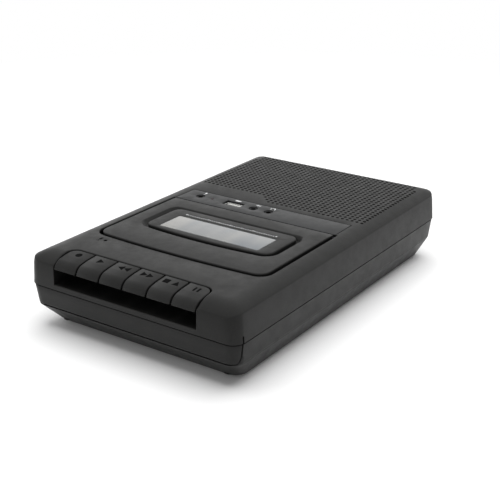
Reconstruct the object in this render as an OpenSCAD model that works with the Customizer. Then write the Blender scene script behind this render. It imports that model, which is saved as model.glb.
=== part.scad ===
// Portable flat cassette recorder with piano keys, a pull-out handle and a top speaker grille.
// Millimetres. Origin on the table under the middle of the case, +X right, +Y to the back, +Z up.

/* [Case] */
// Width over the side walls at the seam
case_w = 160; // [144:1:176]
// Length from the front to the back
case_l = 254; // [230:1:280]
// Height of the flat top above the table
case_h = 51; // [46:0.5:56]
// Wall thickness of both shells
wall = 2.5; // [2:0.1:2.8]
// Radius of the upright corners
corner_r = 8; // [6:0.5:10]
// Height of the top shell from the seam to its flat top
top_h = 21.7; // [20:0.1:24]
// Step from the top shell in to the base at the seam
seam_step = 0.4; // [0.2:0.1:0.8]
// Lean of the top shell's side walls
side_draft = 1.5; // [0.5:0.1:2]
// Lean of the top shell's end walls
end_draft = 0.6; // [0.2:0.1:1]
// Width of the soft bevel along the sides of the top
side_bevel_w = 12.5; // [8:0.5:13]
// Drop of the side bevel at its outer edge
side_bevel_drop = 3.7; // [2:0.1:4.5]
// Width of the soft bevel along the front of the top
front_bevel_w = 14; // [10:0.5:16]
// Drop of the front bevel at its outer edge
front_bevel_drop = 5.5; // [4:0.1:6.5]
// Width of the soft bevel along the back of the top
rear_bevel_w = 8; // [5:0.5:10]
// Drop of the rear bevel at its outer edge
rear_bevel_drop = 2; // [1:0.1:3]
// Height of the lower edge of the side band
band_z = 15.5; // [14:0.5:17]
// Lean of the side band
band_draft = 1.4; // [0.5:0.1:2]
// Run-in of the base under the side band
side_run_in = 7; // [5:0.5:8]
// Run-in of the base under the front
front_run_in = 13; // [10:0.5:14]
// Run-in of the base under the back
rear_run_in = 6; // [4:0.5:8]
// Height of the rubber feet
foot_h = 1.5; // [1:0.1:2.5]
// Radius of the rubber feet
foot_r = 4; // [3:0.5:4]
// Distance from the case sides to the feet
foot_side = 32; // [28:0.5:36]
// Distance from the front to the front feet
foot_front = 24; // [22:0.5:28]
// Distance from the back to the rear feet
foot_rear = 12.3; // [12:0.1:13]

/* [Piano keys] */
// Distance from the left side to the key row
key_left = 22.4; // [20:0.1:24]
// Distance from the right side to the key row
key_right = 28.4; // [26:0.1:30]
// Gap between two keys
key_gap = 0.7; // [0.5:0.1:1]
// Length of a key cap from the front to its rear line
key_l = 19; // [17:0.5:20]
// Radius of the rounded key front
key_nose_r = 7; // [6:0.5:8]
// Fall of the key top towards the front, in degrees
key_slope = 7; // [4:0.5:9]
// Height of the keys from their lower front edge to the case top
key_front_h = 7.5; // [6.5:0.1:8]
// Depth of the recess under the keys below the case top
recess_down = 18; // [17:0.1:18.5]
// Corner radius at the rear ends of the key opening
key_corner_r = 6; // [2:0.5:7]
// Distance from the front to the key shaft
key_shaft_in = 31; // [30:0.5:32]
// Depth of the key shaft below the top
key_shaft_down = 13; // [12.5:0.1:13.5]
// Radius of the key shaft
key_shaft_r = 1.5; // [1.2:0.1:2]
// Outer radius of the key hubs
key_hub_r = 3.5; // [3:0.1:3.8]
// Width of the key levers
key_lever_w = 7; // [5:0.5:9]
// Reach of the key bracket past the ends of the key row
bracket_side = 3.2; // [2.5:0.1:4]
// Reach of the key bracket in front of the key shaft
bracket_front = 8; // [7.5:0.1:8.5]
// Reach of the key bracket's ears on both sides of the key shaft
bracket_ear = 4; // [3.5:0.1:4.2]
// Thickness of the key bracket
bracket_t = 1.2; // [1:0.1:1.5]
// Width of a key spring
key_spring_w = 4; // [3:0.5:5]
// Thickness of the key springs
key_spring_t = 0.4; // [0.3:0.05:0.5]

/* [Cassette door] */
// Distance from the case sides to the door
door_side = 14.5; // [14:0.1:16]
// Length of the door along the middle
door_l = 84.8; // [84:0.1:86]
// Distance from the front to the door's front edge
door_in = 46.2; // [46:0.1:47]
// How far the door's front edge bows forward
door_bow = 2.6; // [1.5:0.1:3]
// Radius of the door's front corners
door_corner_r = 8; // [5:0.5:10]
// Height of the door's face over the case top
door_proud = 0.6; // [0.3:0.1:1]
// Thickness of the door's panel
door_t = 2.5; // [2:0.1:3]
// Gap round the door
door_gap = 1.2; // [0.8:0.1:1.5]
// Radius of the rolled rear edge round the hinge
knuckle_r = 2.2; // [2:0.1:2.5]
// Radius of the hinge pins
hinge_pin_r = 1; // [0.8:0.1:1.2]
// Length of each hinge pin
hinge_pin_l = 11; // [9:0.5:13]
// Depth of the recess round the lens
lens_recess = 3; // [2.5:0.1:3.2]
// Thickness of the door under the recess
tray_t = 3; // [2.5:0.1:3.2]
// Width of the raised lens
lens_w = 96; // [90:0.5:98]
// Length of the raised lens
lens_l = 36.5; // [33:0.5:38]
// Distance from the door's front edge to the lens
lens_in = 30; // [28:0.5:31]
// How far the lens's front edge bows forward
lens_bow = 3; // [1.5:0.1:4]
// Corner radius of the lens
lens_corner_r = 5; // [3:0.5:6]
// Groove round the lens at its sides and front
lens_groove = 4.6; // [3:0.1:5]
// Groove behind the lens
lens_rear_groove = 2.6; // [2:0.1:4]
// Width of the clear window
window_w = 78; // [70:0.5:80]
// Length of the clear window
window_l = 21.6; // [18:0.2:22]
// Distance from the lens's front edge to the clear window
window_in = 4.5; // [4:0.1:5]
// Travel of the door latch when the eject key is pressed
latch_travel = 3; // [2:0.1:3]
// Width of the door latch
latch_w = 8; // [6:0.5:8]
// Place of the door latch from the middle
latch_x = -36; // [-37:0.5:-35]
// Length of the leaf springs that lift the door
lift_spring_l = 24; // [18:1:26]
// Width of the leaf springs that lift the door
lift_spring_w = 4; // [3:0.5:5]
// Thickness of the leaf springs that lift the door
lift_spring_t = 0.3; // [0.2:0.05:0.3]

/* [Compact cassette] */
// Width of the cassette
cassette_w = 100.4; // [100:0.1:101]
// Depth of the cassette
cassette_l = 63.8; // [63.5:0.1:64.2]
// Thickness of the cassette
cassette_t = 12; // [11.8:0.1:12.2]
// Distance between the two reel hubs
reel_spacing = 42.5; // [42:0.1:43]
// Distance from the tape edge to the hubs
reel_in = 35; // [34:0.1:36]
// Distance from the door's front edge to the tape edge
cassette_in = 6.8; // [6.5:0.1:7.2]

/* [Control strip] */
// Distance from the case sides to the strip
strip_side = 15; // [14:0.1:16]
// Length of the strip
strip_l = 20.6; // [19:0.1:22]
// Thickness of the strip
strip_t = 1.2; // [1:0.1:1.4]
// Hairline gap round the strip
strip_gap = 0.25; // [0.15:0.05:0.4]
// Distance from the strip's front edge to the line of sockets
socket_in = 11.4; // [10.5:0.1:12]
// Distance from the left side to the microphone socket
mic_jack_in = 28; // [27:0.2:29]
// Distance from the left side to the power light
led_in = 38.3; // [37:0.1:39]
// Distance from the left side to the memory stick socket
usb_in = 56.5; // [55:0.5:58]
// Distance from the left side to the line socket
line_jack_in = 73.3; // [72.5:0.1:74]
// Distance from the left side to the headphone socket
phones_jack_in = 85.7; // [85:0.1:87]
// Distance from the left side to the microphone port
mic_port_in = 29.6; // [28:0.1:31]
// Distance from the front to the microphone port
mic_port_back = 40.4; // [40:0.1:41]
// Plug radius of the audio sockets
plug_r = 1.8; // [1.75:0.05:1.85]
// Depth of the audio sockets
plug_depth = 13; // [12:0.5:14]
// Radius of the audio sockets' collars
collar_r = 3.1; // [2.8:0.1:3.4]
// Side of the audio sockets' bodies
jack_side = 8; // [7.6:0.2:8.6]
// Height of the sockets over the circuit board
socket_h = 15; // [14.8:0.1:15.4]
// Radius of the power light
led_r = 1; // [0.8:0.1:1.3]
// Width of the memory stick socket
usb_w = 14.4; // [14:0.1:15]
// Depth of the memory stick socket from its front to its back face
usb_d = 7.2; // [6.6:0.1:7.6]
// Wall of the memory stick socket
usb_wall = 0.9; // [0.6:0.1:1.1]
// Width of the tongue in the memory stick socket
usb_tongue_w = 11.2; // [10.6:0.1:11.4]
// Thickness of the tongue in the memory stick socket
usb_tongue_t = 1.9; // [1.6:0.1:2]
// Plug depth of the memory stick socket
usb_depth = 11; // [9:0.5:13]

/* [Speaker and grille] */
// Distance between grille holes
grille_pitch = 3.72; // [3.6:0.02:3.8]
// Radius of the grille holes
grille_hole_r = 1.05; // [0.8:0.05:1.2]
// Number of hole columns
grille_columns = 38; // [34:2:38]
// Number of hole rows
grille_rows = 25; // [20:1:25]
// Distance from the back to the last row
grille_in = 4.6; // [4:0.1:6]
// Depth of the holes beside the speaker, which don't go through
grille_depth = 1.8; // [1.4:0.1:1.9]
// Rounding of the field at its rear corners
grille_round_r = 12; // [8:0.5:16]
// Rows that start late, to leave a plain patch at the front left
grille_short_rows = 3; // [0:1:4]
// Where the first of these rows starts
grille_short_x = -8; // [-20:0.5:10]
// Outer radius of the speaker
speaker_r = 33; // [30:0.5:34]
// Radius of the cone
cone_r = 28; // [25:0.5:29]
// Depth of the speaker's basket
basket_h = 14; // [12:0.5:16]
// Radius of the magnet
magnet_r = 18; // [16:0.5:19]
// Height of the magnet
magnet_h = 9; // [7:0.5:10]
// Distance from the right wall to the speaker's middle
speaker_in_x = 50; // [49:0.5:51]
// Radius from the speaker's middle to its screws
speaker_screw_at = 35.5; // [35:0.1:36.5]
// Thickness of the speaker's rim
rim_t = 1.6; // [1.2:0.1:2]
// Height of the ring that the speaker is screwed to
speaker_ring_h = 3; // [2.5:0.1:4]

/* [Carry handle] */
// Thickness of the handle's front bar
bar_t = 5; // [4:0.2:5.5]
// How far the bar's ends wrap round the corners
bar_wrap = 6.2; // [5.6:0.1:6.6]
// Gap between the handle and the base
handle_gap = 1.2; // [0.8:0.1:1.4]
// Gap over and under the bar
bar_play = 0.4; // [0.3:0.05:0.6]
// Travel of the handle
handle_travel = 45; // [35:1:50]
// Thickness of the sliding arms
arm_t = 3.6; // [3:0.1:4]
// Room between the sliding arms and the seam
arm_room = 3.1; // [2.5:0.1:4]
// Room between the sliding arms and the lower edge of the side band
arm_rise = 1.7; // [1:0.1:2.5]
// Length of the sliding arms behind the bar
arm_l = 62; // [58:1:66]
// Distance from the case side to the arms
arm_in = 6.6; // [6.4:0.1:7]
// Height of the notch over the seam beside the bar
notch_h = 4.7; // [2:0.1:6]

/* [Battery bay] */
// Number of cells side by side
cells = 4; // [2:1:4]
// Diameter of a cell
cell_d = 14.5; // [14:0.1:14.6]
// Length of a cell
cell_l = 50.5; // [49:0.1:51]
// Room for the contacts at both ends
contact_room = 8; // [7:0.5:8.5]
// Side play of the cells
cell_play = 1.3; // [1:0.1:1.4]
// Wall of the battery bay
bay_wall = 1.5; // [1.2:0.1:1.6]
// Distance from the left side to the bay
bay_in_x = 13; // [12.5:0.1:13.2]
// Distance from the back to the bay
bay_in_y = 18; // [17.5:0.1:18.5]
// Thickness of the battery door
battery_door_t = 2; // [1.8:0.1:2.2]
// Ledge that the battery door seats on
battery_ledge = 1.2; // [1:0.1:1.5]
// Radius of the battery door's hinge knuckles
battery_knuckle_r = 0.9; // [0.8:0.05:1]
// Width of the battery door's hinge knuckles
battery_knuckle_w = 8; // [6:0.5:10]
// Gap at the hinge edge of the battery door
battery_hinge_gap = 1.2; // [1.1:0.1:1.3]
// Radius of the contact springs at the wall
contact_r = 5; // [4:0.5:6]

/* [Tape deck] */
// Thickness of the deck plate
deck_t = 1.2; // [1:0.1:1.5]
// Distance from the case sides to the deck plate
deck_side = 14; // [13.5:0.1:16]
// Room between the deck plate and the well
deck_room = 1.8; // [1.7:0.1:2]
// Thickness of the cassette well
well_t = 1.5; // [1.2:0.1:1.8]
// Place of the capstan from the middle
capstan_x = 28; // [27:0.5:29]
// Distance from the tape edge to the capstan
capstan_in = 6; // [5:0.1:7]
// Radius of the capstan
capstan_r = 1; // [0.8:0.1:1.3]
// Radius of the friction hub on the capstan
capstan_hub_r = 5; // [4:0.2:5.4]
// Radius of the flywheel
flywheel_r = 24; // [20:0.5:25]
// Thickness of the flywheel
flywheel_t = 5; // [4:0.2:5.4]
// Radius of the pinch roller
roller_r = 6.5; // [5.5:0.1:7]
// Height of the pinch roller
roller_h = 8; // [6:0.2:8.4]
// Travel of the head bridge
head_travel = 6; // [4:0.2:6.4]
// Radius of the reel discs
reel_disc_r = 12; // [10:0.2:12.4]
// Radius of the reel hubs
reel_hub_r = 4.4; // [4:0.1:4.6]
// Radius of the reel pins
reel_pin_r = 1.5; // [1:0.1:1.8]
// Radius of the motor
motor_r = 16; // [13:0.5:17]
// Room between the motor and the floor
motor_room = 0.4; // [0.3:0.1:2]
// Thickness of the motor bracket
motor_plate_t = 1.2; // [1:0.1:1.5]
// Radius of the motor pulley
pulley_r = 4; // [3:0.2:5]
// Place of the motor from the middle
motor_x = -38; // [-40:0.5:-36]
// Height of the drive belt
belt_h = 3; // [2:0.1:3.4]
// Thickness of the drive belt
belt_t = 1.2; // [0.8:0.1:1.5]

/* [Volume wheel and power socket] */
// Radius of the volume wheel
wheel_r = 11; // [10:0.2:11.4]
// Thickness of the volume wheel
wheel_t = 4; // [3:0.2:4.2]
// Depth of the finger scoop in the side wall
scoop = 1.2; // [0.8:0.1:1.4]
// Distance of the power socket behind the volume wheel
power_behind = 30; // [28:0.5:34]
// Radius of the power socket's opening
power_r = 3; // [2.6:0.1:3.2]
// Half the side of the power socket's body
power_half = 4.8; // [4.4:0.1:5]

/* [Screws and fits] */
// Radius of the case screws
case_screw_r = 1.5; // [1.2:0.1:1.7]
// Radius of the bosses for the case screws
boss_r = 3.2; // [3:0.1:3.4]
// Radius of the small screws
small_screw_r = 1.1; // [0.9:0.1:1.3]
// Radius of the posts under the deck plate
deck_post_r = 2.8; // [2.4:0.1:2.9]
// Distance from the deck plate's ends to its screws
deck_screw_side = 6; // [5:0.1:7]
// Distance from the well's front and rear walls to the deck screws
deck_screw_in = 4; // [3.5:0.1:5]
// Distance from the front to the front case screws
case_screw_front = 17.5; // [17:0.1:18]
// Distance from the case sides to the front case screws
case_screw_side = 17; // [16.5:0.1:18]
// Distance from the back to the rear case screws
case_screw_rear = 11; // [10.5:0.1:11.5]
// Distance from the case sides to the rear case screws
case_screw_rear_side = 14; // [13:0.1:15]
// Distance from the headphone socket to the right board screw
board_screw_past = 13; // [12:0.1:13.5]
// Radial play of a pin or shaft in its bore
fit = 0.05; // [0.03:0.01:0.08]
// Play between parts that slide or turn past each other
play = 0.3; // [0.25:0.05:0.4]

/* [Hidden] */
$fn = 48;

dark_plastic = "#3d3d3b";
key_plastic = "#343433";
black_plastic = "#1c1c1c";
smoke_plastic = "#6f7376";
steel = "#b9bcc0";
brass = "#c9a85a";
rubber = "#161616";

eps = 0.5;
half_w = case_w / 2;
front_y = -case_l / 2;
back_y = case_l / 2;
base_z = foot_h;
floor_z = base_z + wall;
seam_z = case_h - top_h;
top_in_z = case_h - wall;

// Heights, worked down from the case top through the cassette to the deck
door_top = case_h + door_proud;
door_under = door_top - lens_recess - tray_t;
cassette_z = door_under - 2 * play - cassette_t;
lip_t = 1;
lip_z = cassette_z - 0.1 - lip_t;
well_floor_z = lip_z - play - 0.1;
deck_top = well_floor_z - well_t - deck_room;
deck_z = deck_top - deck_t;
spindle_top = cassette_z + cassette_t - 2.5;

// Places along the length, worked back from the front
key_rear_y = front_y + key_l;
key_shaft_y = front_y + key_shaft_in;
key_shaft_z = case_h - key_shaft_down;
key_row_x = -half_w + key_left;
key_row_w = case_w - key_left - key_right;
key_pitch = key_row_w / 6;
key_lip_z = case_h - key_front_h;
recess_z = case_h - recess_down;
key_open_x0 = key_row_x - key_gap / 2;
key_open_x1 = key_row_x + key_row_w + key_gap / 2;
door_w = case_w - 2 * door_side;
door_y0 = front_y + door_in;
door_y1 = door_y0 + door_l;
hinge_y = door_y1 - knuckle_r;
hinge_z = door_top - knuckle_r;
lens_y0 = door_y0 + lens_in;
lens_y1 = lens_y0 + lens_l;
tape_y = door_y0 + cassette_in;
cassette_y1 = tape_y + cassette_l;
reel_y = tape_y + reel_in;
reel_x = reel_spacing / 2;
capstan_y = tape_y + capstan_in;
well_y0 = key_shaft_y + key_hub_r + 1 + well_t;
well_y1 = cassette_y1 + 5.7;
well_w = door_w + 2 * door_gap + 1.6;
strip_w = case_w - 2 * strip_side;
strip_y0 = door_y1 + 0.4 + strip_gap;
strip_y1 = strip_y0 + strip_l;
socket_y = strip_y0 + socket_in;
mic_jack_x = -half_w + mic_jack_in;
led_x = -half_w + led_in;
usb_x = -half_w + usb_in;
line_jack_x = -half_w + line_jack_in;
phones_jack_x = -half_w + phones_jack_in;
board_top = case_h - 0.5 - socket_h;
board_t = 1.6;
board_z = board_top - board_t;
bed_t = 1.5;
bed_z = top_in_z - bed_t;

// Front handle and its slides
bar_end_y = front_y + bar_wrap;
base_front_y = bar_end_y + handle_gap;
arm_x1 = half_w - arm_in;
arm_x0 = arm_x1 - arm_t;
arm_z = band_z + arm_rise;
arm_h = seam_z - arm_room - arm_z;
arm_y1 = bar_end_y + arm_l;
hook_l = 4;
hook_w = 3;
rib_t = 2;
rib_y1 = arm_y1 - hook_l - handle_travel - play;

// Battery bay
cell_pitch = cell_d + cell_play;
bay_w = cells * cell_pitch;
bay_l = cell_l + contact_room;
bay_h = cell_pitch;
bay_x0 = -half_w + bay_in_x;
bay_x1 = bay_x0 + bay_w;
bay_y1 = back_y - bay_in_y;
bay_y0 = bay_y1 - bay_l;
bay_z = base_z + battery_door_t;
bay_top = bay_z + bay_h;
battery_hinge_y = bay_y0 - battery_ledge - 0.9;
battery_hinge_z = base_z + battery_door_t - battery_knuckle_r;
battery_hinge_xs = [bay_x0 + 10, bay_x1 - 10];

// Speaker and grille
speaker_x = half_w - speaker_in_x;
speaker_y = (strip_y1 + back_y - wall) / 2;
rim_z = top_in_z - speaker_ring_h;
basket_z = rim_z - rim_t - basket_h;
grille_x0 = -(grille_columns - 1) / 2 * grille_pitch;
grille_y1 = back_y - grille_in;
grille_y0 = grille_y1 - (grille_rows - 1) * grille_pitch;

// Deck drive
deck_w = case_w - 2 * deck_side;
hub_z = deck_top + play;
hub_h = 1.2;
flywheel_z = deck_z - 4 - flywheel_t;
drive_run = [reel_x - capstan_x, reel_y - capstan_y];
drive_gap = norm(drive_run) - capstan_hub_r - reel_disc_r;
idler_r = drive_gap / 2 - play;
idler_at = [capstan_x, capstan_y] + drive_run / norm(drive_run) * (capstan_hub_r + play + idler_r);
motor_y = capstan_y + 6;
motor_plate_z = flywheel_z - 1.4;
motor_top = motor_plate_z - motor_plate_t;
motor_z = floor_z + motor_room;
motor_h = motor_top - motor_z;
belt_z = flywheel_z + (flywheel_t - belt_h) / 2;
bridge_x0 = -26;
bridge_x1 = 42;
bridge_z = deck_top + 0.2;
bridge_t = 1.2;
bridge_y1 = capstan_y - capstan_hub_r - head_travel - 2.5;
bridge_y0 = well_y0 + 0.5;
head_nose_y = tape_y - 3;
head_z = bridge_z + bridge_t;
head_top = cassette_z + cassette_t - 1.5;
roller_y = capstan_y - capstan_r - roller_r - head_travel - play;
roller_z = cassette_z + 1.8;

// Volume wheel and power socket on the left side
wheel_x = -half_w + wheel_r + 0.1;
wheel_y = socket_y;
wheel_z = board_top + 2.6;
wheel_slot = sqrt(wheel_r ^ 2 - (half_w - side_draft - wall + wheel_x) ^ 2) + 2 * play;
scoop_x = -half_w + side_draft * (wheel_z + wheel_t / 2 - seam_z) / (case_h - seam_z) + scoop;
power_y = wheel_y + power_behind;
power_z = board_top + 3.6;
power_x = -half_w + wall + side_draft * (power_z + power_half - seam_z) / top_h + 0.1;

// Screw places
case_screw_at = [
    for (x = [-1, 1]) [x * (half_w - case_screw_side), front_y + case_screw_front],
    for (x = [-1, 1]) [x * (half_w - case_screw_rear_side), back_y - case_screw_rear]
];
foot_at = [
    for (x = [-1, 1], y = [front_y + foot_front, back_y - foot_rear]) [x * (half_w - foot_side), y]
];
deck_screw_at = [
    for (x = [-1, 1], y = [well_y0 + deck_screw_in, well_y1 - deck_screw_in])
        [x * (deck_w / 2 - deck_screw_side), y]
];
well_foot_at = [
    for (x = [-1, 1], y = [well_y0 + 18, well_y1 - 5]) [x * (deck_w / 2 - 16), y]
];
board_screw_at = [
    [phones_jack_x + board_screw_past, socket_y + 6.5], [mic_jack_x - 1.8, socket_y + 8.2]
];
speaker_screw_angles = [45, 135, 225, 315];
mic_at = [-half_w + mic_port_in, front_y + mic_port_back];
case_screw_head_z = 8;

// Points along an arc about c
function arc(c, r, a0, a1, n) =
    [for (i = [0:n]) c + r * [cos(a0 + (a1 - a0) * i / n), sin(a0 + (a1 - a0) * i / n)]];

// The same arc without its two end points
function open_arc(c, r, a0, a1, n) =
    [for (i = [1:n - 1]) c + r * [cos(a0 + (a1 - a0) * i / n), sin(a0 + (a1 - a0) * i / n)]];

// Plan outline with a front edge that bows forward, grown outwards all round
function bowed_plan(w, y0, y1, bow, front_r, rear_r, grow = 0) =
    let (
        bow_r = (w * w / 4 + bow * bow) / (2 * bow),
        bow_c = [0, y0 + bow_r],
        front_x = w / 2 - front_r,
        front_c = [front_x, bow_c.y - sqrt(pow(bow_r - front_r, 2) - front_x * front_x)],
        rear_c = [w / 2 - rear_r, y1 - rear_r],
        lean = asin(front_x / (bow_r - front_r))
    )
    concat(
        arc(rear_c, rear_r + grow, 0, 90, 6),
        arc([-rear_c.x, rear_c.y], rear_r + grow, 90, 180, 6),
        arc([-front_c.x, front_c.y], front_r + grow, 180, 270 - lean, 8),
        open_arc(bow_c, bow_r + grow, 270 - lean, 270 + lean, 20),
        arc(front_c, front_r + grow, 270 + lean, 360, 8)
    );

// A flat outline in Y and Z drawn out along X
module along_x(x0, w) {
    translate([x0, 0, 0]) rotate([90, 0, 90]) linear_extrude(w) children();
}

// A flat outline in X and Z drawn out along the whole case length
module along_y() {
    rotate([90, 0, 0]) linear_extrude(case_l + 2 * eps, center = true) children();
}

module box(p, q) {
    translate(p) cube(q - p);
}

module rod_x(x0, l, r, at) {
    translate([x0, at.x, at.y]) rotate([0, 90, 0]) cylinder(h = l, r = r);
}

module rounded_rect(w, l, r) {
    square([w - 2 * r, l], center = true);
    square([w, l - 2 * r], center = true);
    for (x = [-1, 1], y = [-1, 1]) translate([x * (w / 2 - r), y * (l / 2 - r)]) circle(r);
}

// Cross-section of the top shell between two leaning walls with soft bevels, [width, drop] each
module bevel_profile(half, draft, low_bevel, high_bevel, inset) {
    low_r = (low_bevel[0] ^ 2 + low_bevel[1] ^ 2) / (2 * low_bevel[1]);
    high_r = (high_bevel[0] ^ 2 + high_bevel[1] ^ 2) / (2 * high_bevel[1]);
    low_at = -half + draft + low_bevel[0];
    high_at = half - draft - high_bevel[0];
    foot = half - inset;
    crown = foot - draft;
    bottom = seam_z - 2;
    intersection() {
        polygon([
            [-foot, bottom], [foot, bottom], [foot, seam_z],
            [crown, case_h], [-crown, case_h], [-foot, seam_z]
        ]);
        union() {
            translate([low_at, bottom]) square([high_at - low_at, case_h - inset - bottom]);
            translate([-foot, bottom]) square([2 * foot, case_h - max(low_r, high_r) - bottom]);
            translate([low_at, case_h - low_r]) circle(low_r - inset);
            translate([high_at, case_h - high_r]) circle(high_r - inset);
        }
    }
}

module top_form(inset, z0) {
    side_bevel = [side_bevel_w, side_bevel_drop];
    front_bevel = [front_bevel_w, front_bevel_drop];
    rear_bevel = [rear_bevel_w, rear_bevel_drop];
    intersection() {
        translate([0, 0, z0]) linear_extrude(case_h)
            rounded_rect(case_w - 2 * inset, case_l - 2 * inset, corner_r - inset);
        along_y() bevel_profile(half_w, side_draft, side_bevel, side_bevel, inset);
        along_x(-half_w - eps, case_w + 2 * eps)
            bevel_profile(case_l / 2, end_draft, front_bevel, rear_bevel, inset);
    }
}

// Cross-section of the base, from the seam down the leaning band to the run-in
module base_profile(half, low_run, high_run, inset) {
    seam = half - seam_step - inset;
    band = seam - band_draft;
    polygon([
        [-band + low_run, base_z], [band - high_run, base_z], [band, band_z], [seam, seam_z],
        [seam, seam_z + eps], [-seam, seam_z + eps], [-seam, seam_z], [-band, band_z]
    ]);
}

module base_form(inset, z1) {
    intersection() {
        translate([0, 0, base_z + inset]) linear_extrude(z1 - base_z - inset)
            rounded_rect(case_w - 2 * inset, case_l - 2 * inset, corner_r - inset);
        along_y() base_profile(half_w, side_run_in, side_run_in, inset);
        along_x(-half_w - eps, case_w + 2 * eps) base_profile(case_l / 2, front_run_in, rear_run_in, inset);
    }
}

// Plan of the whole key row with rounded rear corners, grown outwards
module key_row_plan(grow) {
    r = key_corner_r + grow;
    x0 = key_row_x + key_gap / 2 - grow;
    w = key_row_w - key_gap + 2 * grow;
    rear = key_rear_y + grow;
    translate([x0, front_y - eps]) square([w, rear - r - front_y + eps]);
    translate([x0 + r, front_y - eps]) square([w - 2 * r, rear - front_y + eps]);
    for (x = [x0 + r, x0 + w - r]) translate([x, rear - r]) circle(r);
}

module door_plan(grow) {
    polygon(bowed_plan(door_w, door_y0, door_y1, door_bow, door_corner_r, 0.6, grow));
}

module lens_plan(grow) {
    polygon(bowed_plan(lens_w, lens_y0, lens_y1, lens_bow, lens_corner_r, lens_corner_r, grow));
}

// Whether the field has a hole at row j, column i, and whether the hole is over the cone
function grille_at(i, j) = [grille_x0 + i * grille_pitch, grille_y0 + j * grille_pitch];
function in_grille(i, j) =
    let (p = grille_at(i, j))
    (j >= grille_short_rows || p.x > grille_short_x - j * grille_pitch)
    && norm([max(abs(p.x) + grille_x0 + grille_round_r, 0), max(p.y - grille_y1 + grille_round_r, 0)])
        < grille_round_r + 0.2;
function over_cone(p) = norm(p - [speaker_x, speaker_y]) < cone_r - 2 * grille_hole_r;

module grille_holes(open) {
    for (i = [0:grille_columns - 1], j = [0:grille_rows - 1])
        if (in_grille(i, j) && over_cone(grille_at(i, j)) == open)
            translate(grille_at(i, j)) circle(grille_hole_r, $fn = 16);
}

module top_shell() {
    color(dark_plastic) difference() {
        union() {
            difference() {
                top_form(0, seam_z);
                top_form(wall, seam_z - 1);
            }
            // Cheeks beside the keys and the shelf under them
            for (x = [key_open_x0 - 2, key_open_x1])
                box([x, front_y + 1, seam_z], [x + 2, key_rear_y + key_gap + 2, top_in_z + eps]);
            box([key_open_x0 - 1, front_y + 1, recess_z - 2], [key_open_x1 + 1, front_y + 12, recess_z]);
            // Bed under the control strip and sockets for the door's hinge pins
            box([-strip_w / 2 - 3, strip_y0 - strip_gap, bed_z],
                [strip_w / 2 + 3, strip_y1 + 2, top_in_z + eps]);
            for (x = [-1, 1])
                translate([x * (door_w / 2 + door_gap + 3), hinge_y, (hinge_z - 3 + top_in_z + eps) / 2])
                    cube([6, 7, top_in_z + eps - hinge_z + 3], center = true);
            // Ring that the speaker is screwed to
            translate([speaker_x, speaker_y, rim_z]) difference() {
                union() {
                    cylinder(h = speaker_ring_h + eps, r = speaker_r);
                    for (a = speaker_screw_angles) rotate(a) translate([speaker_screw_at, 0, 0])
                        cylinder(h = speaker_ring_h + eps, r = 3.4);
                }
                translate([0, 0, -1]) cylinder(h = speaker_ring_h + 1, r = cone_r + 1);
            }
            for (p = case_screw_at) translate([p.x, p.y, seam_z])
                cylinder(h = top_in_z - seam_z, r = boss_r);
            for (p = board_screw_at) translate([p.x, p.y, board_top])
                cylinder(h = bed_z - board_top + eps, r = 2.8);
        }
        translate([0, 0, recess_z]) linear_extrude(case_h) key_row_plan(key_gap);
        translate([0, 0, bed_z - 3]) linear_extrude(case_h) difference() {
            door_plan(door_gap);
            translate([-half_w, door_y1 + 0.4]) square([case_w, 10]);
        }
        // Pocket for the control strip and the window under it
        box([-strip_w / 2 - strip_gap, door_y1 - 1, case_h - strip_t],
            [strip_w / 2 + strip_gap, strip_y1 + strip_gap, case_h + 1]);
        box([mic_jack_x - 5.5, socket_y - 6, bed_z - 1], [phones_jack_x + 6, socket_y + 5, case_h + 1]);
        for (x = [door_w / 2, -door_w / 2 - hinge_pin_l / 2 - 1])
            rod_x(x, hinge_pin_l / 2 + 1, hinge_pin_r + fit, [hinge_y, hinge_z]);
        translate([0, 0, top_in_z - 1]) linear_extrude(wall + 2) grille_holes(true);
        translate([0, 0, case_h - grille_depth]) linear_extrude(grille_depth + 1) grille_holes(false);
        translate([mic_at.x, mic_at.y, top_in_z - 1]) cylinder(h = wall + 2, r = 1.2, $fn = 24);
        // Notches over the ends of the handle's bar
        for (x = [-half_w - 1, half_w - wall - 2])
            box([x, bar_end_y, seam_z - 1], [x + wall + 3, base_front_y, seam_z + notch_h]);
        // Slot and finger scoop for the volume wheel
        box([-half_w - 1, wheel_y - wheel_slot, wheel_z - 0.5],
            [wheel_x, wheel_y + wheel_slot, wheel_z + wheel_t + 0.5]);
        box([-half_w - 1, wheel_y - wheel_slot - 3, wheel_z - 2.5],
            [scoop_x, wheel_y + wheel_slot + 3, wheel_z + wheel_t + 2.5]);
        rod_x(-half_w - 1, wall + 4, power_r + play, [power_y, power_z]);
        for (p = case_screw_at) translate([p.x, p.y, seam_z - 1])
            cylinder(h = 9, r = case_screw_r + fit);
        for (p = board_screw_at) translate([p.x, p.y, board_top - 1])
            cylinder(h = 7, r = small_screw_r + fit);
        translate([speaker_x, speaker_y, rim_z - 1]) for (a = speaker_screw_angles) rotate(a)
            translate([speaker_screw_at, 0, 0]) cylinder(h = speaker_ring_h + 1.5, r = small_screw_r + fit);
    }
}

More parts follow.
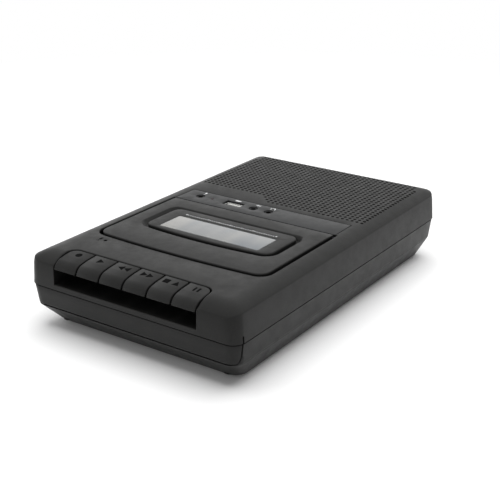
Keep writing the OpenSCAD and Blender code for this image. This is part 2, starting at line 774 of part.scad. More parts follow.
module bottom_shell() {
    color(dark_plastic) difference() {
        union() {
            difference() {
                base_form(0, seam_z);
                base_form(wall, seam_z + 1);
                box([-half_w, front_y - 1, band_z], [half_w, base_front_y, seam_z + 1]);
            }
            intersection() {
                base_form(0, seam_z);
                union() {
                    // Wall and shelf behind and under the handle's bar
                    box([-half_w, base_front_y, floor_z], [half_w, base_front_y + wall, seam_z]);
                    box([-half_w, front_y, band_z - wall], [half_w, base_front_y + wall, band_z]);
                    // Ledges and ribs that guide the handle's arms
                    for (x = [-1, 1]) {
                        ledge_h = arm_z - play - floor_z;
                        rib_h = arm_z + arm_h - floor_z;
                        translate([x * (arm_x0 + 3), (base_front_y + arm_y1) / 2, floor_z + ledge_h / 2 - eps])
                            cube([7, arm_y1 - base_front_y, ledge_h + 2 * eps], center = true);
                        rib_mid = [arm_x0 - play - rib_t / 2, (base_front_y + rib_y1) / 2];
                        translate([x * rib_mid.x, rib_mid.y, floor_z + rib_h / 2])
                            cube([rib_t, rib_y1 - base_front_y, rib_h], center = true);
                    }
                    for (p = case_screw_at) translate([p.x, p.y, base_z])
                        cylinder(h = seam_z - base_z, r = boss_r);
                }
            }
            for (p = deck_screw_at) translate([p.x, p.y, floor_z - eps])
                cylinder(h = deck_z - floor_z + eps, r = deck_post_r);
            box([bay_x0 - bay_wall, bay_y0 - bay_wall, floor_z - eps],
                [bay_x1 + bay_wall, bay_y1 + bay_wall, bay_top + bay_wall]);
            for (x = battery_hinge_xs)
                box([x - battery_knuckle_w / 2 - 2, battery_hinge_y - battery_knuckle_r - 1.6, floor_z - eps],
                    [x + battery_knuckle_w / 2 + 2, bay_y0 - bay_wall + eps, floor_z + 1.2]);
        }
        box([bay_x0, bay_y0, base_z - 1], [bay_x1, bay_y1, bay_top]);
        box([bay_x0 - battery_ledge, bay_y0 - battery_ledge, base_z - 1],
            [bay_x1 + battery_ledge, bay_y1 + battery_ledge, bay_z]);
        for (x = battery_hinge_xs)
            box([x - battery_knuckle_w / 2 - play, battery_hinge_y - battery_knuckle_r - play, base_z - 1],
                [x + battery_knuckle_w / 2 + play, bay_y0, bay_z + play]);
        for (x = [-1, 1]) translate([x * (arm_x0 + arm_t / 2), base_front_y + wall / 2, arm_z + arm_h / 2])
            cube([arm_t + 2 * play, wall + 1, arm_h + 2 * play], center = true);
        for (p = case_screw_at) translate([p.x, p.y, base_z - 1]) {
            cylinder(h = seam_z, r = case_screw_r + fit);
            cylinder(h = case_screw_head_z - base_z + 1, r = 2 * case_screw_r);
        }
        for (p = deck_screw_at) translate([p.x, p.y, deck_z - 8])
            cylinder(h = 9, r = small_screw_r + fit);
    }
}

module control_strip() {
    color("#47494b") difference() {
        box([-strip_w / 2, strip_y0, case_h - strip_t], [strip_w / 2, strip_y1, case_h]);
        for (x = [mic_jack_x, line_jack_x, phones_jack_x])
            translate([x, socket_y, case_h - strip_t - 1]) cylinder(h = strip_t + 2, r = collar_r + 0.2);
        translate([led_x, socket_y, case_h - strip_t - 1]) cylinder(h = strip_t + 2, r = led_r + 0.15);
        translate([usb_x, socket_y, case_h]) cube([usb_w + 0.4, usb_d + 0.4, 2 * strip_t + 1], center = true);
    }
}

module carry_handle() {
    color(dark_plastic) {
        difference() {
            intersection() {
                base_form(0, seam_z);
                box([-half_w, front_y, band_z + bar_play], [half_w, bar_end_y, seam_z - bar_play]);
            }
            box([-arm_x0 + 3, front_y + bar_t, band_z], [arm_x0 - 3, bar_end_y + 1, seam_z]);
        }
        for (x = [-1, 1]) {
            translate([x * (arm_x0 + arm_t / 2), bar_end_y + arm_l / 2 - 1, arm_z + arm_h / 2])
                cube([arm_t, arm_l + 2, arm_h], center = true);
            translate([x * (arm_x0 - hook_w / 2 + eps / 2), arm_y1 - hook_l / 2, arm_z + arm_h / 2])
                cube([hook_w + eps, hook_l, arm_h], center = true);
        }
    }
}

module battery_door() {
    color(dark_plastic) {
        difference() {
            box([bay_x0 - battery_ledge + play, bay_y0 - battery_ledge + battery_hinge_gap, base_z],
                [bay_x1 + battery_ledge - play, bay_y1 + battery_ledge - play, bay_z - 0.1]);
            // Finger dish at the rear edge
            translate([(bay_x0 + bay_x1) / 2, bay_y1 - 6, base_z - 7]) sphere(r = 8);
        }
        for (x = battery_hinge_xs) {
            rod_x(x - battery_knuckle_w / 2, battery_knuckle_w, battery_knuckle_r,
                  [battery_hinge_y, battery_hinge_z]);
            box([x - battery_knuckle_w / 2, battery_hinge_y, battery_hinge_z - 0.5],
                [x + battery_knuckle_w / 2, bay_y0, battery_hinge_z + 0.5]);
        }
    }
}

module rubber_feet() {
    color(rubber) for (p = foot_at) translate([p.x, p.y, 0]) cylinder(h = foot_h, r = foot_r);
}

// A screw with a round head, a driver slot and its tip at z
module screw(r, z, l, head_r, head_h, down) {
    translate([0, 0, z]) mirror([0, 0, down ? 1 : 0]) difference() {
        union() {
            cylinder(h = l + head_h / 2, r = r);
            translate([0, 0, l]) cylinder(h = head_h, r = head_r);
        }
        translate([0, 0, l + head_h]) cube([2 * head_r, r / 2, head_h], center = true);
    }
}

module case_screws() {
    color(steel) for (p = case_screw_at) translate([p.x, p.y, 0])
        screw(case_screw_r, seam_z + 7, seam_z + 7 - case_screw_head_z, 2 * case_screw_r - 0.2, 2.2, true);
}

module cassette_door() {
    recess_y1 = lens_y1 + lens_rear_groove;
    color(dark_plastic) difference() {
        union() {
            intersection() {
                translate([0, 0, door_under]) linear_extrude(case_h) door_plan(0);
                along_x(-half_w, case_w) union() {
                    translate([front_y, door_top - door_t]) square([hinge_y - front_y, door_t]);
                    translate([hinge_y, hinge_z]) circle(knuckle_r);
                }
            }
            // Sunk tray under the lens
            translate([0, 0, door_under]) linear_extrude(door_top - door_under - 1)
                lens_plan(lens_groove + 3);
            // Catch that the latch stands in front of
            box([latch_x - 3, door_y0 + 3, door_under - 2], [latch_x + 3, door_y0 + 5, door_top - 1]);
        }
        translate([0, 0, door_top - lens_recess]) linear_extrude(case_h) intersection() {
            lens_plan(lens_groove);
            translate([-half_w, front_y]) square([case_w, recess_y1 - front_y]);
        }
        box([-window_w / 2, lens_y0 + window_in, door_under - 1],
            [window_w / 2, lens_y0 + window_in + window_l, case_h]);
        for (x = [door_w / 2 - hinge_pin_l / 2, -door_w / 2 - 1])
            rod_x(x, hinge_pin_l / 2 + 1, hinge_pin_r + fit, [hinge_y, hinge_z]);
    }
}

module door_lens() {
    color(smoke_plastic) translate([0, 0, door_top - lens_recess]) linear_extrude(lens_recess - 0.2)
        lens_plan(0);
}

module cassette_guides() {
    inner = cassette_w / 2 + play;
    color(steel) for (x = [-1, 1]) {
        along_rail = [tape_y + 2, cassette_y1 - 2];
        translate([x * (inner + 0.75), (along_rail[0] + along_rail[1]) / 2, (lip_z + door_under) / 2])
            cube([1.5, along_rail[1] - along_rail[0], door_under - lip_z], center = true);
        translate([x * (inner - 1), (along_rail[0] + along_rail[1]) / 2, lip_z + lip_t / 2])
            cube([5, along_rail[1] - along_rail[0], lip_t], center = true);
    }
}

module door_hinge_pins() {
    color(steel) for (x = [-1, 1])
        rod_x(x * door_w / 2 - hinge_pin_l / 2 + play, hinge_pin_l - 2 * play, hinge_pin_r, [hinge_y, hinge_z]);
}

module door_latch() {
    nose_y = door_y0 + 3 - 2 * play - 0.3;
    color(black_plastic) difference() {
        box([latch_x - latch_w / 2, well_y0 + latch_travel + 0.5, well_floor_z + 0.1],
            [latch_x + latch_w / 2, nose_y, door_under]);
        box([latch_x - latch_w, well_y0, well_floor_z + 5], [latch_x + latch_w, nose_y - 2.5, door_under + 1]);
    }
}

module door_springs() {
    mid_y = cassette_y1 - 2 - lift_spring_l / 2;
    color(steel) for (x = [-1, 1])
        translate([x * (cassette_w / 2 - 1), mid_y, well_floor_z + lift_spring_t / 2])
            cube([lift_spring_w, lift_spring_l, lift_spring_t], center = true);
}

// A piano key, counted from the left
module piano_key(i) {
    x0 = key_row_x + i * key_pitch + key_gap / 2;
    w = key_pitch - key_gap;
    rear_z = case_h - 0.2;
    nose_y = front_y + key_nose_r;
    touch_y = nose_y - key_nose_r * sin(key_slope);
    touch_z = rear_z - (key_rear_y - touch_y) * tan(key_slope);
    nose_z = touch_z - key_nose_r * cos(key_slope);
    lever_x = x0 + (w - key_lever_w) / 2;
    color(key_plastic) difference() {
        union() {
            intersection() {
                along_x(x0, w) intersection() {
                    union() {
                        translate([nose_y, nose_z]) circle(key_nose_r);
                        polygon([
                            [touch_y, touch_z], [key_rear_y, rear_z], [key_rear_y, nose_z], [nose_y, nose_z]
                        ]);
                    }
                    translate([front_y - 1, key_lip_z]) square([key_l + 1, case_h]);
                }
                linear_extrude(case_h) key_row_plan(0);
            }
            along_x(lever_x, key_lever_w) union() {
                polygon([
                    [key_rear_y - 6, key_lip_z + 0.5], [key_rear_y - 0.4, case_h - 3.5],
                    [key_shaft_y + 0.8, key_shaft_z + key_hub_r - 0.3],
                    [key_shaft_y - 2, key_shaft_z - key_hub_r + 0.8]
                ]);
                translate([key_shaft_y, key_shaft_z]) circle(key_hub_r);
            }
        }
        // Hollow underside of the cap
        for (x = [x0 + 2, lever_x + key_lever_w + 1])
            box([x, front_y + 3, key_lip_z - 1], [x + lever_x - x0 - 3, key_rear_y - 2, case_h - 5.5]);
        rod_x(lever_x - 1, key_lever_w + 2, key_shaft_r + fit, [key_shaft_y, key_shaft_z]);
    }
}

module key_record() { piano_key(0); }
module key_play() { piano_key(1); }
module key_rewind() { piano_key(2); }
module key_forward() { piano_key(3); }
module key_stop() { piano_key(4); }
module key_pause() { piano_key(5); }

module key_shaft() {
    past = bracket_side + 0.8;
    color(steel) rod_x(key_row_x - past, key_row_w + 2 * past, key_shaft_r, [key_shaft_y, key_shaft_z]);
}

module key_bracket() {
    x0 = key_row_x - bracket_side;
    x1 = key_row_x + key_row_w + bracket_side;
    color(steel) difference() {
        union() {
            box([x0, key_shaft_y - bracket_front, deck_top],
                [x1, key_shaft_y + bracket_ear - 1, deck_top + bracket_t]);
            for (x = [x0, x1 - bracket_t])
                box([x, key_shaft_y - bracket_ear, deck_top],
                    [x + bracket_t, key_shaft_y + bracket_ear, key_shaft_z + bracket_ear]);
        }
        rod_x(x0 - 1, x1 - x0 + 2, key_shaft_r + fit, [key_shaft_y, key_shaft_z]);
    }
}

module key_springs() {
    foot_z = deck_top + bracket_t;
    lever_low = [key_rear_y - 6, key_lip_z + 0.5];
    lever_high = [key_shaft_y - 2, key_shaft_z - key_hub_r + 0.8];
    tip_y = key_rear_y + 1;
    lever_rise = (lever_high.y - lever_low.y) / (lever_high.x - lever_low.x);
    tip_z = lever_low.y + (tip_y - lever_low.x) * lever_rise - play;
    foot_y = key_shaft_y - bracket_front + 0.5;
    color(brass) {
        box([key_row_x, foot_y, foot_z], [key_row_x + key_row_w, foot_y + 2.5, foot_z + key_spring_t]);
        for (i = [0:5]) along_x(key_row_x + (i + 0.5) * key_pitch - key_spring_w / 2, key_spring_w)
            polygon([
                [foot_y, foot_z], [foot_y + 2 * key_spring_t, foot_z],
                [tip_y + key_spring_t, tip_z - 0.4], [tip_y - key_spring_t, tip_z - 0.4]
            ]);
    }
}

module cassette_well() {
    outer = well_w / 2 + well_t;
    rim_top = hinge_z - 3 - play;
    color(black_plastic) difference() {
        union() {
            difference() {
                box([-outer, well_y0 - well_t, well_floor_z - well_t], [outer, well_y1 + well_t, rim_top]);
                box([-well_w / 2, well_y0, well_floor_z], [well_w / 2, well_y1, rim_top + 1]);
            }
            for (p = well_foot_at) translate([p.x, p.y, deck_top]) cylinder(h = deck_room + eps, r = 2.6);
        }
        box([bridge_x0 - 2, well_y0, well_floor_z - well_t - 1],
            [bridge_x1 + 2, capstan_y + capstan_hub_r, well_floor_z + 1]);
        for (x = [-reel_x, reel_x]) translate([x, reel_y, well_floor_z - well_t - 1])
            cylinder(h = well_t + 2, r = reel_hub_r + 2.6);
    }
}

module deck_plate() {
    color(steel) difference() {
        box([-deck_w / 2, key_shaft_y - bracket_front - 1, deck_z], [deck_w / 2, well_y1, deck_top]);
        translate([capstan_x, capstan_y, deck_z - 1]) cylinder(h = deck_t + 2, r = 3.5 + fit);
        for (x = [-reel_x, reel_x]) translate([x, reel_y, deck_z - 1])
            cylinder(h = deck_t + 2, r = reel_pin_r + fit);
        translate([idler_at.x, idler_at.y, deck_z - 1]) cylinder(h = deck_t + 2, r = 1.2 + fit);
        for (p = deck_screw_at) translate([p.x, p.y, deck_z - 1])
            cylinder(h = deck_t + 2, r = small_screw_r + fit);
    }
}

module head_bridge() {
    color(steel) difference() {
        box([bridge_x0, bridge_y0, bridge_z], [bridge_x1, bridge_y1, bridge_z + bridge_t]);
        // Guide slots along the travel
        for (x = [bridge_x0 + 14, bridge_x1 - 20])
            translate([x, (bridge_y0 + bridge_y1) / 2, bridge_z]) cube([2.4, 2, 4 * bridge_t], center = true);
    }
}

module tape_head(x, w, top) {
    nose_r = w / 2;
    color(steel) union() {
        box([x - w / 2, bridge_y0 + 1, head_z], [x + w / 2, head_nose_y - nose_r, top]);
        translate([x, head_nose_y - nose_r, head_z + 3]) cylinder(h = top - head_z - 3, r = nose_r);
    }
}

module play_head() { tape_head(0, 7, head_top); }
module erase_head() { tape_head(-18, 5, head_top - 1); }

module pinch_arm() {
    color(steel) {
        box([capstan_x - 5, roller_y - roller_r + 1, head_z], [capstan_x + 5, roller_y + 2, head_z + 2]);
        translate([capstan_x, roller_y, head_z]) cylinder(h = roller_z + roller_h - head_z, r = 1.2);
        translate([capstan_x, roller_y, head_z]) cylinder(h = roller_z - head_z - play, r = 2.6);
    }
}

module pinch_roller() {
    color(rubber) translate([capstan_x, roller_y, roller_z]) difference() {
        cylinder(h = roller_h, r = roller_r);
        translate([0, 0, -1]) cylinder(h = roller_h + 2, r = 1.2 + fit);
    }
}

module capstan() {
    color(steel) translate([capstan_x, capstan_y, 0]) {
        translate([0, 0, flywheel_z]) cylinder(h = head_top - flywheel_z, r = capstan_r);
        translate([0, 0, hub_z]) cylinder(h = hub_h, r = capstan_hub_r);
    }
}

module capstan_bush() {
    color(brass) translate([capstan_x, capstan_y, deck_z - 3.6]) difference() {
        union() {
            cylinder(h = 3.6 + deck_t, r = 3.5);
            translate([0, 0, 2.1]) cylinder(h = 1.5, r = 5.5);
        }
        translate([0, 0, -1]) cylinder(h = 6 + deck_t, r = capstan_r + fit);
    }
}

module flywheel() {
    color("#8f9296") translate([capstan_x, capstan_y, flywheel_z]) difference() {
        cylinder(h = flywheel_t, r = flywheel_r, $fn = 96);
        translate([0, 0, -1]) cylinder(h = flywheel_t + 2, r = capstan_r + fit);
        translate([0, 0, -1]) rotate_extrude($fn = 96) translate([7, 0]) square([flywheel_r - 12, 2.5]);
    }
}

module spindle(x) {
    color(black_plastic) translate([x, reel_y, hub_z]) difference() {
        union() {
            cylinder(h = hub_h, r = reel_disc_r);
            cylinder(h = well_floor_z + play - hub_z, r = reel_hub_r + 1.6);
            cylinder(h = spindle_top - hub_z - 3, r = reel_hub_r - 1);
            translate([0, 0, spindle_top - hub_z - 3])
                cylinder(h = 3, r1 = reel_hub_r - 1, r2 = reel_pin_r + 1);
            // Three splines that turn the reel
            for (a = [90, 210, 330]) rotate(a) translate([0, -0.7, 0])
                cube([reel_hub_r, 1.4, spindle_top - hub_z - 3]);
        }
        translate([0, 0, -1]) cylinder(h = spindle_top, r = reel_pin_r + fit);
    }
}

module supply_spindle() { spindle(-reel_x); }
module take_up_spindle() { spindle(reel_x); }

module reel_pins() {
    color(steel) for (x = [-reel_x, reel_x]) translate([x, reel_y, deck_z])
        cylinder(h = spindle_top - deck_z - play, r = reel_pin_r);
}

module idler_wheel() {
    color(rubber) translate([idler_at.x, idler_at.y, hub_z]) difference() {
        cylinder(h = hub_h, r = idler_r);
        translate([0, 0, -1]) cylinder(h = hub_h + 2, r = 1.2 + fit);
    }
}

module idler_pin() {
    color(steel) translate([idler_at.x, idler_at.y, deck_z]) cylinder(h = deck_t + play + hub_h, r = 1.2);
}

module drive_motor() {
    color("#9a9da1") translate([motor_x, motor_y, motor_z]) difference() {
        union() {
            cylinder(h = motor_h, r = motor_r);
            cylinder(h = motor_h + 1, r = 3);
        }
        translate([0, 0, 1.5]) cylinder(h = motor_h + 2, r = 1 + fit);
    }
}

module motor_bracket() {
    reach = motor_r + 2;
    color(steel) translate([motor_x, motor_y, 0]) difference() {
        union() {
            box([-reach, -reach, motor_top], [reach, reach, motor_plate_z]);
            for (y = [-reach, reach - motor_plate_t])
                box([-reach, y, motor_top], [reach, y + motor_plate_t, deck_z]);
        }
        translate([0, 0, motor_plate_z - 2]) cylinder(h = 3, r = 3 + play);
    }
}

module motor_pulley() {
    color(brass) translate([motor_x, motor_y, 0]) {
        translate([0, 0, belt_z - 0.5]) cylinder(h = belt_h + 1, r = pulley_r);
        translate([0, 0, motor_z + 2]) cylinder(h = belt_z - motor_z - 2, r = 1);
    }
}

module belt_loop(grow) {
    hull() {
        translate([motor_x, motor_y]) circle(pulley_r + grow, $fn = 32);
        translate([capstan_x, capstan_y]) circle(flywheel_r + grow, $fn = 64);
    }
}

module drive_belt() {
    color(rubber) translate([0, 0, belt_z]) linear_extrude(belt_h) difference() {
        belt_loop(play + belt_t);
        belt_loop(play);
    }
}

module deck_screws() {
    color(steel) for (p = deck_screw_at) translate([p.x, p.y, 0])
        screw(small_screw_r, deck_z - 6, 6 + deck_t, 2 * small_screw_r, 1.4, false);
}

module speaker_frame() {
    color("#55585a") translate([speaker_x, speaker_y, 0]) difference() {
        union() {
            rotate_extrude($fn = 96) polygon([
                [cone_r + 1, rim_z - rim_t], [cone_r + 1, rim_z],
                [speaker_r, rim_z], [speaker_r, rim_z - rim_t],
                [cone_r + 3, rim_z - rim_t], [magnet_r - 1, basket_z], [9, basket_z],
                [9, basket_z + 1.2], [magnet_r - 2, basket_z + 1.2]
            ]);
            for (a = speaker_screw_angles) rotate(a) translate([speaker_screw_at, 0, rim_z - rim_t])
                cylinder(h = rim_t, r = 3.4);
        }
        for (a = speaker_screw_angles) rotate(a) translate([speaker_screw_at, 0, rim_z - rim_t - 1])
            cylinder(h = rim_t + 2, r = small_screw_r + fit);
    }
}

module speaker_cone() {
    throat = 8;
    depth = rim_z - rim_t - basket_z - 3;
    color("#2b2a28") translate([speaker_x, speaker_y, 0]) rotate_extrude($fn = 96) polygon([
        [cone_r + 0.8, rim_z], [cone_r + 0.8, rim_z - 0.5], [cone_r - 4, rim_z - 0.7],
        [throat, rim_z - depth - 0.6], [0, rim_z - depth + 2.4], [0, rim_z - depth + 3],
        [throat, rim_z - depth], [cone_r - 4, rim_z - 0.1]
    ]);
}

module speaker_magnet() {
    color("#6d6f72") translate([speaker_x, speaker_y, basket_z - magnet_h]) {
        cylinder(h = magnet_h, r = magnet_r);
        cylinder(h = magnet_h + 1.2 + 2, r = 7);
    }
}

module speaker_screws() {
    color(steel) translate([speaker_x, speaker_y, 0]) for (a = speaker_screw_angles)
        rotate(a) translate([speaker_screw_at, 0, 0])
            screw(small_screw_r, rim_z + speaker_ring_h - 0.5, speaker_ring_h - 0.5 + rim_t, 2.1, 1.4, true);
}

module circuit_board() {
    color("#2d5a3a") difference() {
        box([-half_w + 6, strip_y0 + 1, board_z],
            [phones_jack_x + board_screw_past + 4, strip_y1 + 3, board_top]);
        for (p = board_screw_at) translate([p.x, p.y, board_z - 1])
            cylinder(h = board_t + 2, r = small_screw_r + fit);
    }
}

module board_screws() {
    color(steel) for (p = board_screw_at) translate([p.x, p.y, 0])
        screw(small_screw_r, board_top + 5, 5 + board_t, 2 * small_screw_r, 1.1, true);
}

module audio_jack(x) {
    color(black_plastic) translate([x, socket_y, board_top]) difference() {
        union() {
            translate([-jack_side / 2, -jack_side / 2, 0])
                cube([jack_side, jack_side, case_h - strip_t - board_top - play]);
            cylinder(h = socket_h, r = collar_r);
        }
        translate([0, 0, socket_h - plug_depth]) cylinder(h = plug_depth + 1, r = plug_r);
    }
}

module mic_jack() { audio_jack(mic_jack_x); }
module line_jack() { audio_jack(line_jack_x); }
module phones_jack() { audio_jack(phones_jack_x); }

module usb_socket() {
    hole_w = usb_w - 2 * usb_wall;
    hole_d = usb_d - 2 * usb_wall;
    color(steel) translate([usb_x, socket_y, board_top]) {
        difference() {
            translate([-usb_w / 2, -usb_d / 2, 0]) cube([usb_w, usb_d, socket_h]);
            translate([-hole_w / 2, -hole_d / 2, socket_h - usb_depth]) cube([hole_w, hole_d, usb_depth + 1]);
        }
        translate([-usb_tongue_w / 2, hole_d / 2 - usb_tongue_t - 0.4, socket_h - usb_depth - eps])
            cube([usb_tongue_w, usb_tongue_t, usb_depth - 1.5]);
    }
}

module power_light() {
    color("red") translate([led_x, socket_y, board_top]) {
        cylinder(h = case_h - board_top - led_r + 0.3, r = led_r);
        translate([0, 0, case_h - board_top - led_r + 0.3]) sphere(r = led_r);
        cylinder(h = 3, r = led_r + 0.6);
    }
}

module mic_capsule() {
    color(steel) translate([mic_at.x, mic_at.y, top_in_z - 5]) cylinder(h = 5, r = 3);
}

module volume_wheel() {
    ribs = 36;
    color(black_plastic) translate([wheel_x, wheel_y, wheel_z]) difference() {
        cylinder(h = wheel_t, r = wheel_r, $fn = 72);
        for (i = [0:ribs - 1]) rotate(i * 360 / ribs) translate([wheel_r, 0, -1])
            cylinder(h = wheel_t + 2, r = 0.35, $fn = 16);
        translate([0, 0, -1]) cylinder(h = wheel_t + 2, r = 1.5 + fit);
    }
}

module volume_control() {
    color("#7c8084") translate([wheel_x, wheel_y, board_top]) {
        cylinder(h = wheel_z - board_top - play, r = wheel_r - 3);
        cylinder(h = wheel_z - board_top + wheel_t, r = 1.5);
    }
}

module power_socket() {
    color(black_plastic) {
        difference() {
            union() {
                box([power_x, power_y - power_half, power_z - power_half],
                    [power_x + 12, power_y + power_half, power_z + power_half]);
                rod_x(power_x - wall + 0.1, wall + 1, power_r, [power_y, power_z]);
            }
            rod_x(power_x - wall - 1, 9, power_r - 0.6, [power_y, power_z]);
        }
        rod_x(power_x - 1, 8, 0.7, [power_y, power_z]);
    }
}

module battery_springs() {
    color(steel) for (i = [0:cells - 1]) translate([bay_x0 + (i + 0.5) * cell_pitch, bay_y0, bay_z + bay_h / 2])
        rotate([-90, 0, 0]) cylinder(h = contact_room - 2, r1 = contact_r, r2 = contact_r / 2);
}

module battery_plates() {
    color(steel) for (i = [0:cells - 1])
        translate([bay_x0 + (i + 0.5) * cell_pitch, bay_y1 - 0.4, bay_z + bay_h / 2])
            cube([2 * contact_r, 0.8, 2 * contact_r], center = true);
}

top_shell();
bottom_shell();
control_strip();
carry_handle();
battery_door();
rubber_feet();
case_screws();
cassette_door();
door_lens();
cassette_guides();
door_hinge_pins();
door_latch();
door_springs();
key_record();
key_play();
key_rewind();
key_forward();
key_stop();
key_pause();
key_shaft();
key_bracket();
key_springs();
cassette_well();
deck_plate();
head_bridge();
play_head();
erase_head();
pinch_arm();
pinch_roller();
capstan();
capstan_bush();
flywheel();
supply_spindle();
take_up_spindle();
reel_pins();
idler_wheel();
idler_pin();
drive_motor();
motor_bracket();
motor_pulley();
drive_belt();
deck_screws();
speaker_frame();
speaker_cone();
speaker_magnet();
speaker_screws();
circuit_board();
board_screws();
mic_jack();
line_jack();
phones_jack();
usb_socket();
power_light();
mic_capsule();
volume_wheel();
volume_control();
power_socket();
battery_springs();
battery_plates();
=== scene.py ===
"""Looks of a portable cassette recorder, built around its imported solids.

Lengths in the tables and shape functions are millimetres; a mesh becomes metres when it is finished.
"""
import math

import bmesh
import bpy
from mathutils import Matrix, Vector
from mathutils.geometry import delaunay_2d_cdt


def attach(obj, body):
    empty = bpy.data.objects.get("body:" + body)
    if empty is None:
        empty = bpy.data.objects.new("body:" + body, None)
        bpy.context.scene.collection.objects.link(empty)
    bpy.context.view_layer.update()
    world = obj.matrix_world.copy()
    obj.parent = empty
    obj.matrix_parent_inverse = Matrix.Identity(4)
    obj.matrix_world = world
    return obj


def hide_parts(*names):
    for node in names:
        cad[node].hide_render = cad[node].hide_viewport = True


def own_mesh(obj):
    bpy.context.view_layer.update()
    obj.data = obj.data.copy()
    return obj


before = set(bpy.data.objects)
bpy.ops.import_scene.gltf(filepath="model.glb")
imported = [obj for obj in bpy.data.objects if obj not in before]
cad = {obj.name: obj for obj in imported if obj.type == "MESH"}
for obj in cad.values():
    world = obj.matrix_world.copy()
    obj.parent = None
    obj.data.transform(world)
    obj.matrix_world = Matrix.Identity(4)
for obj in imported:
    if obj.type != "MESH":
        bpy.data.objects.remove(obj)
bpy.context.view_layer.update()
MM = 0.001
# An edge that turns by more than this many degrees is shaded sharp
SHARP_EDGE = 38

# Case: half width, half length, top face, seam between the shells
HALF_W, HALF_L, TOP, SEAM = 80.0, 127.0, 51.0, 29.3
# Top shell: lean of its sides and ends, corner radius, wall thickness, depth of the seam line
SIDE_LEAN, END_LEAN, CORNER_R, SHELL_T, SEAM_GROOVE = 1.5, 0.6, 8.0, 2.2, 1.6
# Bevels of the top: where each one starts, and its radius
FLAT_X, SIDE_BEVEL_R = 66.0, 22.96
FLAT_FRONT, FRONT_BEVEL_R = 112.4, 20.57
FLAT_REAR, REAR_BEVEL_R = 118.4, 17.0
# A wall point farther out than this belongs to the left or right side
SIDE_X = 70.0
# Openings of the left wall for the volume wheel and the power socket, and their heights
WHEEL_GAP, POWER_GAP, GAP_Z = (4.0, 28.0), (41.0, 51.1), (35.0, 44.2)
WHEEL_X, WHEEL_Y, WHEEL_Z, WHEEL_R, WHEEL_T = -68.9, 16.05, 38.1, 11.0, 4.0
POWER_SOCKET = (46.05, 39.1)
# Finger recess under the keys
RECESS_Z = 33.0
# Heights of the wall's points, and which of them are the recess's shelf and the foot of the openings
WALL_LEVELS = (SEAM + 0.05, SEAM + 0.4, RECESS_Z - 0.4, RECESS_Z, SEAM + 4.7, *GAP_Z)
SHELF_LEVEL, GAP_LEVEL = 3, 5
# Perforated field: spacing, counts, first hole; first holes of its front rows, rear corner radius, hole sizes
PITCH, COLUMNS, ROWS, HOLES_X0, HOLES_Y0 = 3.72, 38, 25, -68.82, 33.12
ROW_STARTS, GRILLE_R = (-8.0, -12.0, -16.0), 12.0
HOLE_R, HOLE_RIM, HOLE_DEEP = 1.05, 1.36, 2.1
# Built-in microphone's port
MIC_PORT, PORT_R, PORT_EASE = (-50.4, -86.6), 1.2, 0.3
# Base: foot of the upright band, underside, front wall behind the handle, rear end of the handle's wraps
BAND_Z, BASE_Z, BASE_FRONT, BAR_END = 15.5, 1.5, -119.6, -120.8
# Half width, front and rear of the base at its underside, at the foot of the band and at the seam
BASE_SIZES = ((71.2, -112.2, 119.2), (78.2, -125.2, 125.2), (79.6, -126.6, 126.6))
# Handle: inner end of the wraps, rear face of the bar, and its two slide arms
WRAP_X, BAR_BACK = 66.8, -122.0
ARM_X, ARM_HALF, ARM_BACK, ARM_Z = 71.6, 1.8, -58.8, (17.2, 26.2)
# Keys: words, left end of the row, spacing, gap between caps; opening as left, right, rear and corner radius
KEY_WORDS = ("record", "play", "rewind", "forward", "stop", "pause")
KEY_X0, KEY_PITCH, CAP_GAP = -57.6, 18.2, 1.25
KEY_OPEN = (-57.95, 51.95, -107.3, 6.35)
# Side view of a key: rear edge and its height, fall to the crease, rounded nose, lower lip
KEY_REAR, KEY_TOP, CREASE_Y, REAR_FALL = -108.0, 50.8, -116.6, math.tan(math.radians(5.0))
NOSE_Y, NOSE_Z, NOSE_R = -120.0, 42.27, 7.0
NOSE_LEAN, NOSE_END, KEY_LIP = math.radians(11.2), math.radians(166), 43.5
# Side view of a key's lever, of the shaft it turns on and of its return spring
LEVER, LEVER_HALF = ((-114.0, 44.0), (-108.4, 47.5), (-95.2, 41.2), (-98.0, 35.3)), 3.5
SHAFT, HUB_R = (-96.0, 38.0), 3.5
SPRING_PATH = ((-102.9, 29.62), (-103.5, 29.8), (-103.9, 30.4), (-104.5, 32.0), (-105.2, 34.0),
               (-105.9, 36.2), (-106.5, 38.2), (-106.75, 39.0), (-106.6, 39.3), (-106.25, 39.25))
# Cassette door: half width, front, rear, top, underside; bow and corner radius of its front edge; hinge line
DOOR_HALF, DOOR_FRONT, DOOR_REAR, DOOR_TOP, DOOR_UNDER = 65.5, -80.8, 4.0, 51.6, 45.6
DOOR_BOW, DOOR_CORNER, HINGE_Y, HINGE_Z = 2.6, 8.0, 1.8, 49.4
# The lid stands this far inside the door's plan, so that its gap shows
LID_SIDE_IN, LID_FRONT_IN = 1.2, 0.6
LENS_HALF, LENS_FRONT, LENS_REAR, LENS_TOP, LENS_BED = 48.0, -50.8, -14.3, 51.4, DOOR_TOP - 3.0
WINDOW = (-39.0, 39.0, -46.3, -24.7)
# Control strip and the places of its sockets and light
STRIP_HALF, STRIP_FRONT, STRIP_REAR = 65.0, 4.65, 25.25
SOCKET_Y, MIC_X, LED_X, MEMORY_X, LINE_X, PHONES_X = 16.05, -52.0, -41.7, -23.5, -6.7, 5.7
ROUND_SOCKETS = (MIC_X, LINE_X, PHONES_X)
# Battery bay as left, right, front, rear; hinges of its cover; case screws; centres of speaker and flywheel
BAY, COVER_HINGES = (-67.0, -3.8, 50.5, 109.0), (-57.0, -13.8)
CASE_SCREWS = [(-63, -109.5), (63, -109.5), (-66, 116), (66, 116)]
SPEAKER, FLYWHEEL = (30, 74.9), (30, -73)
UP, WHITE = (0, 0, 1), (1, 1, 1, 1)
# Studio light on the viewer's side and behind the part, and the direction to the back
DIM_SIDE, SWEEP_LIGHT, BEHIND = 0.20, 0.80, (-0.75, 0.66, 0.0)
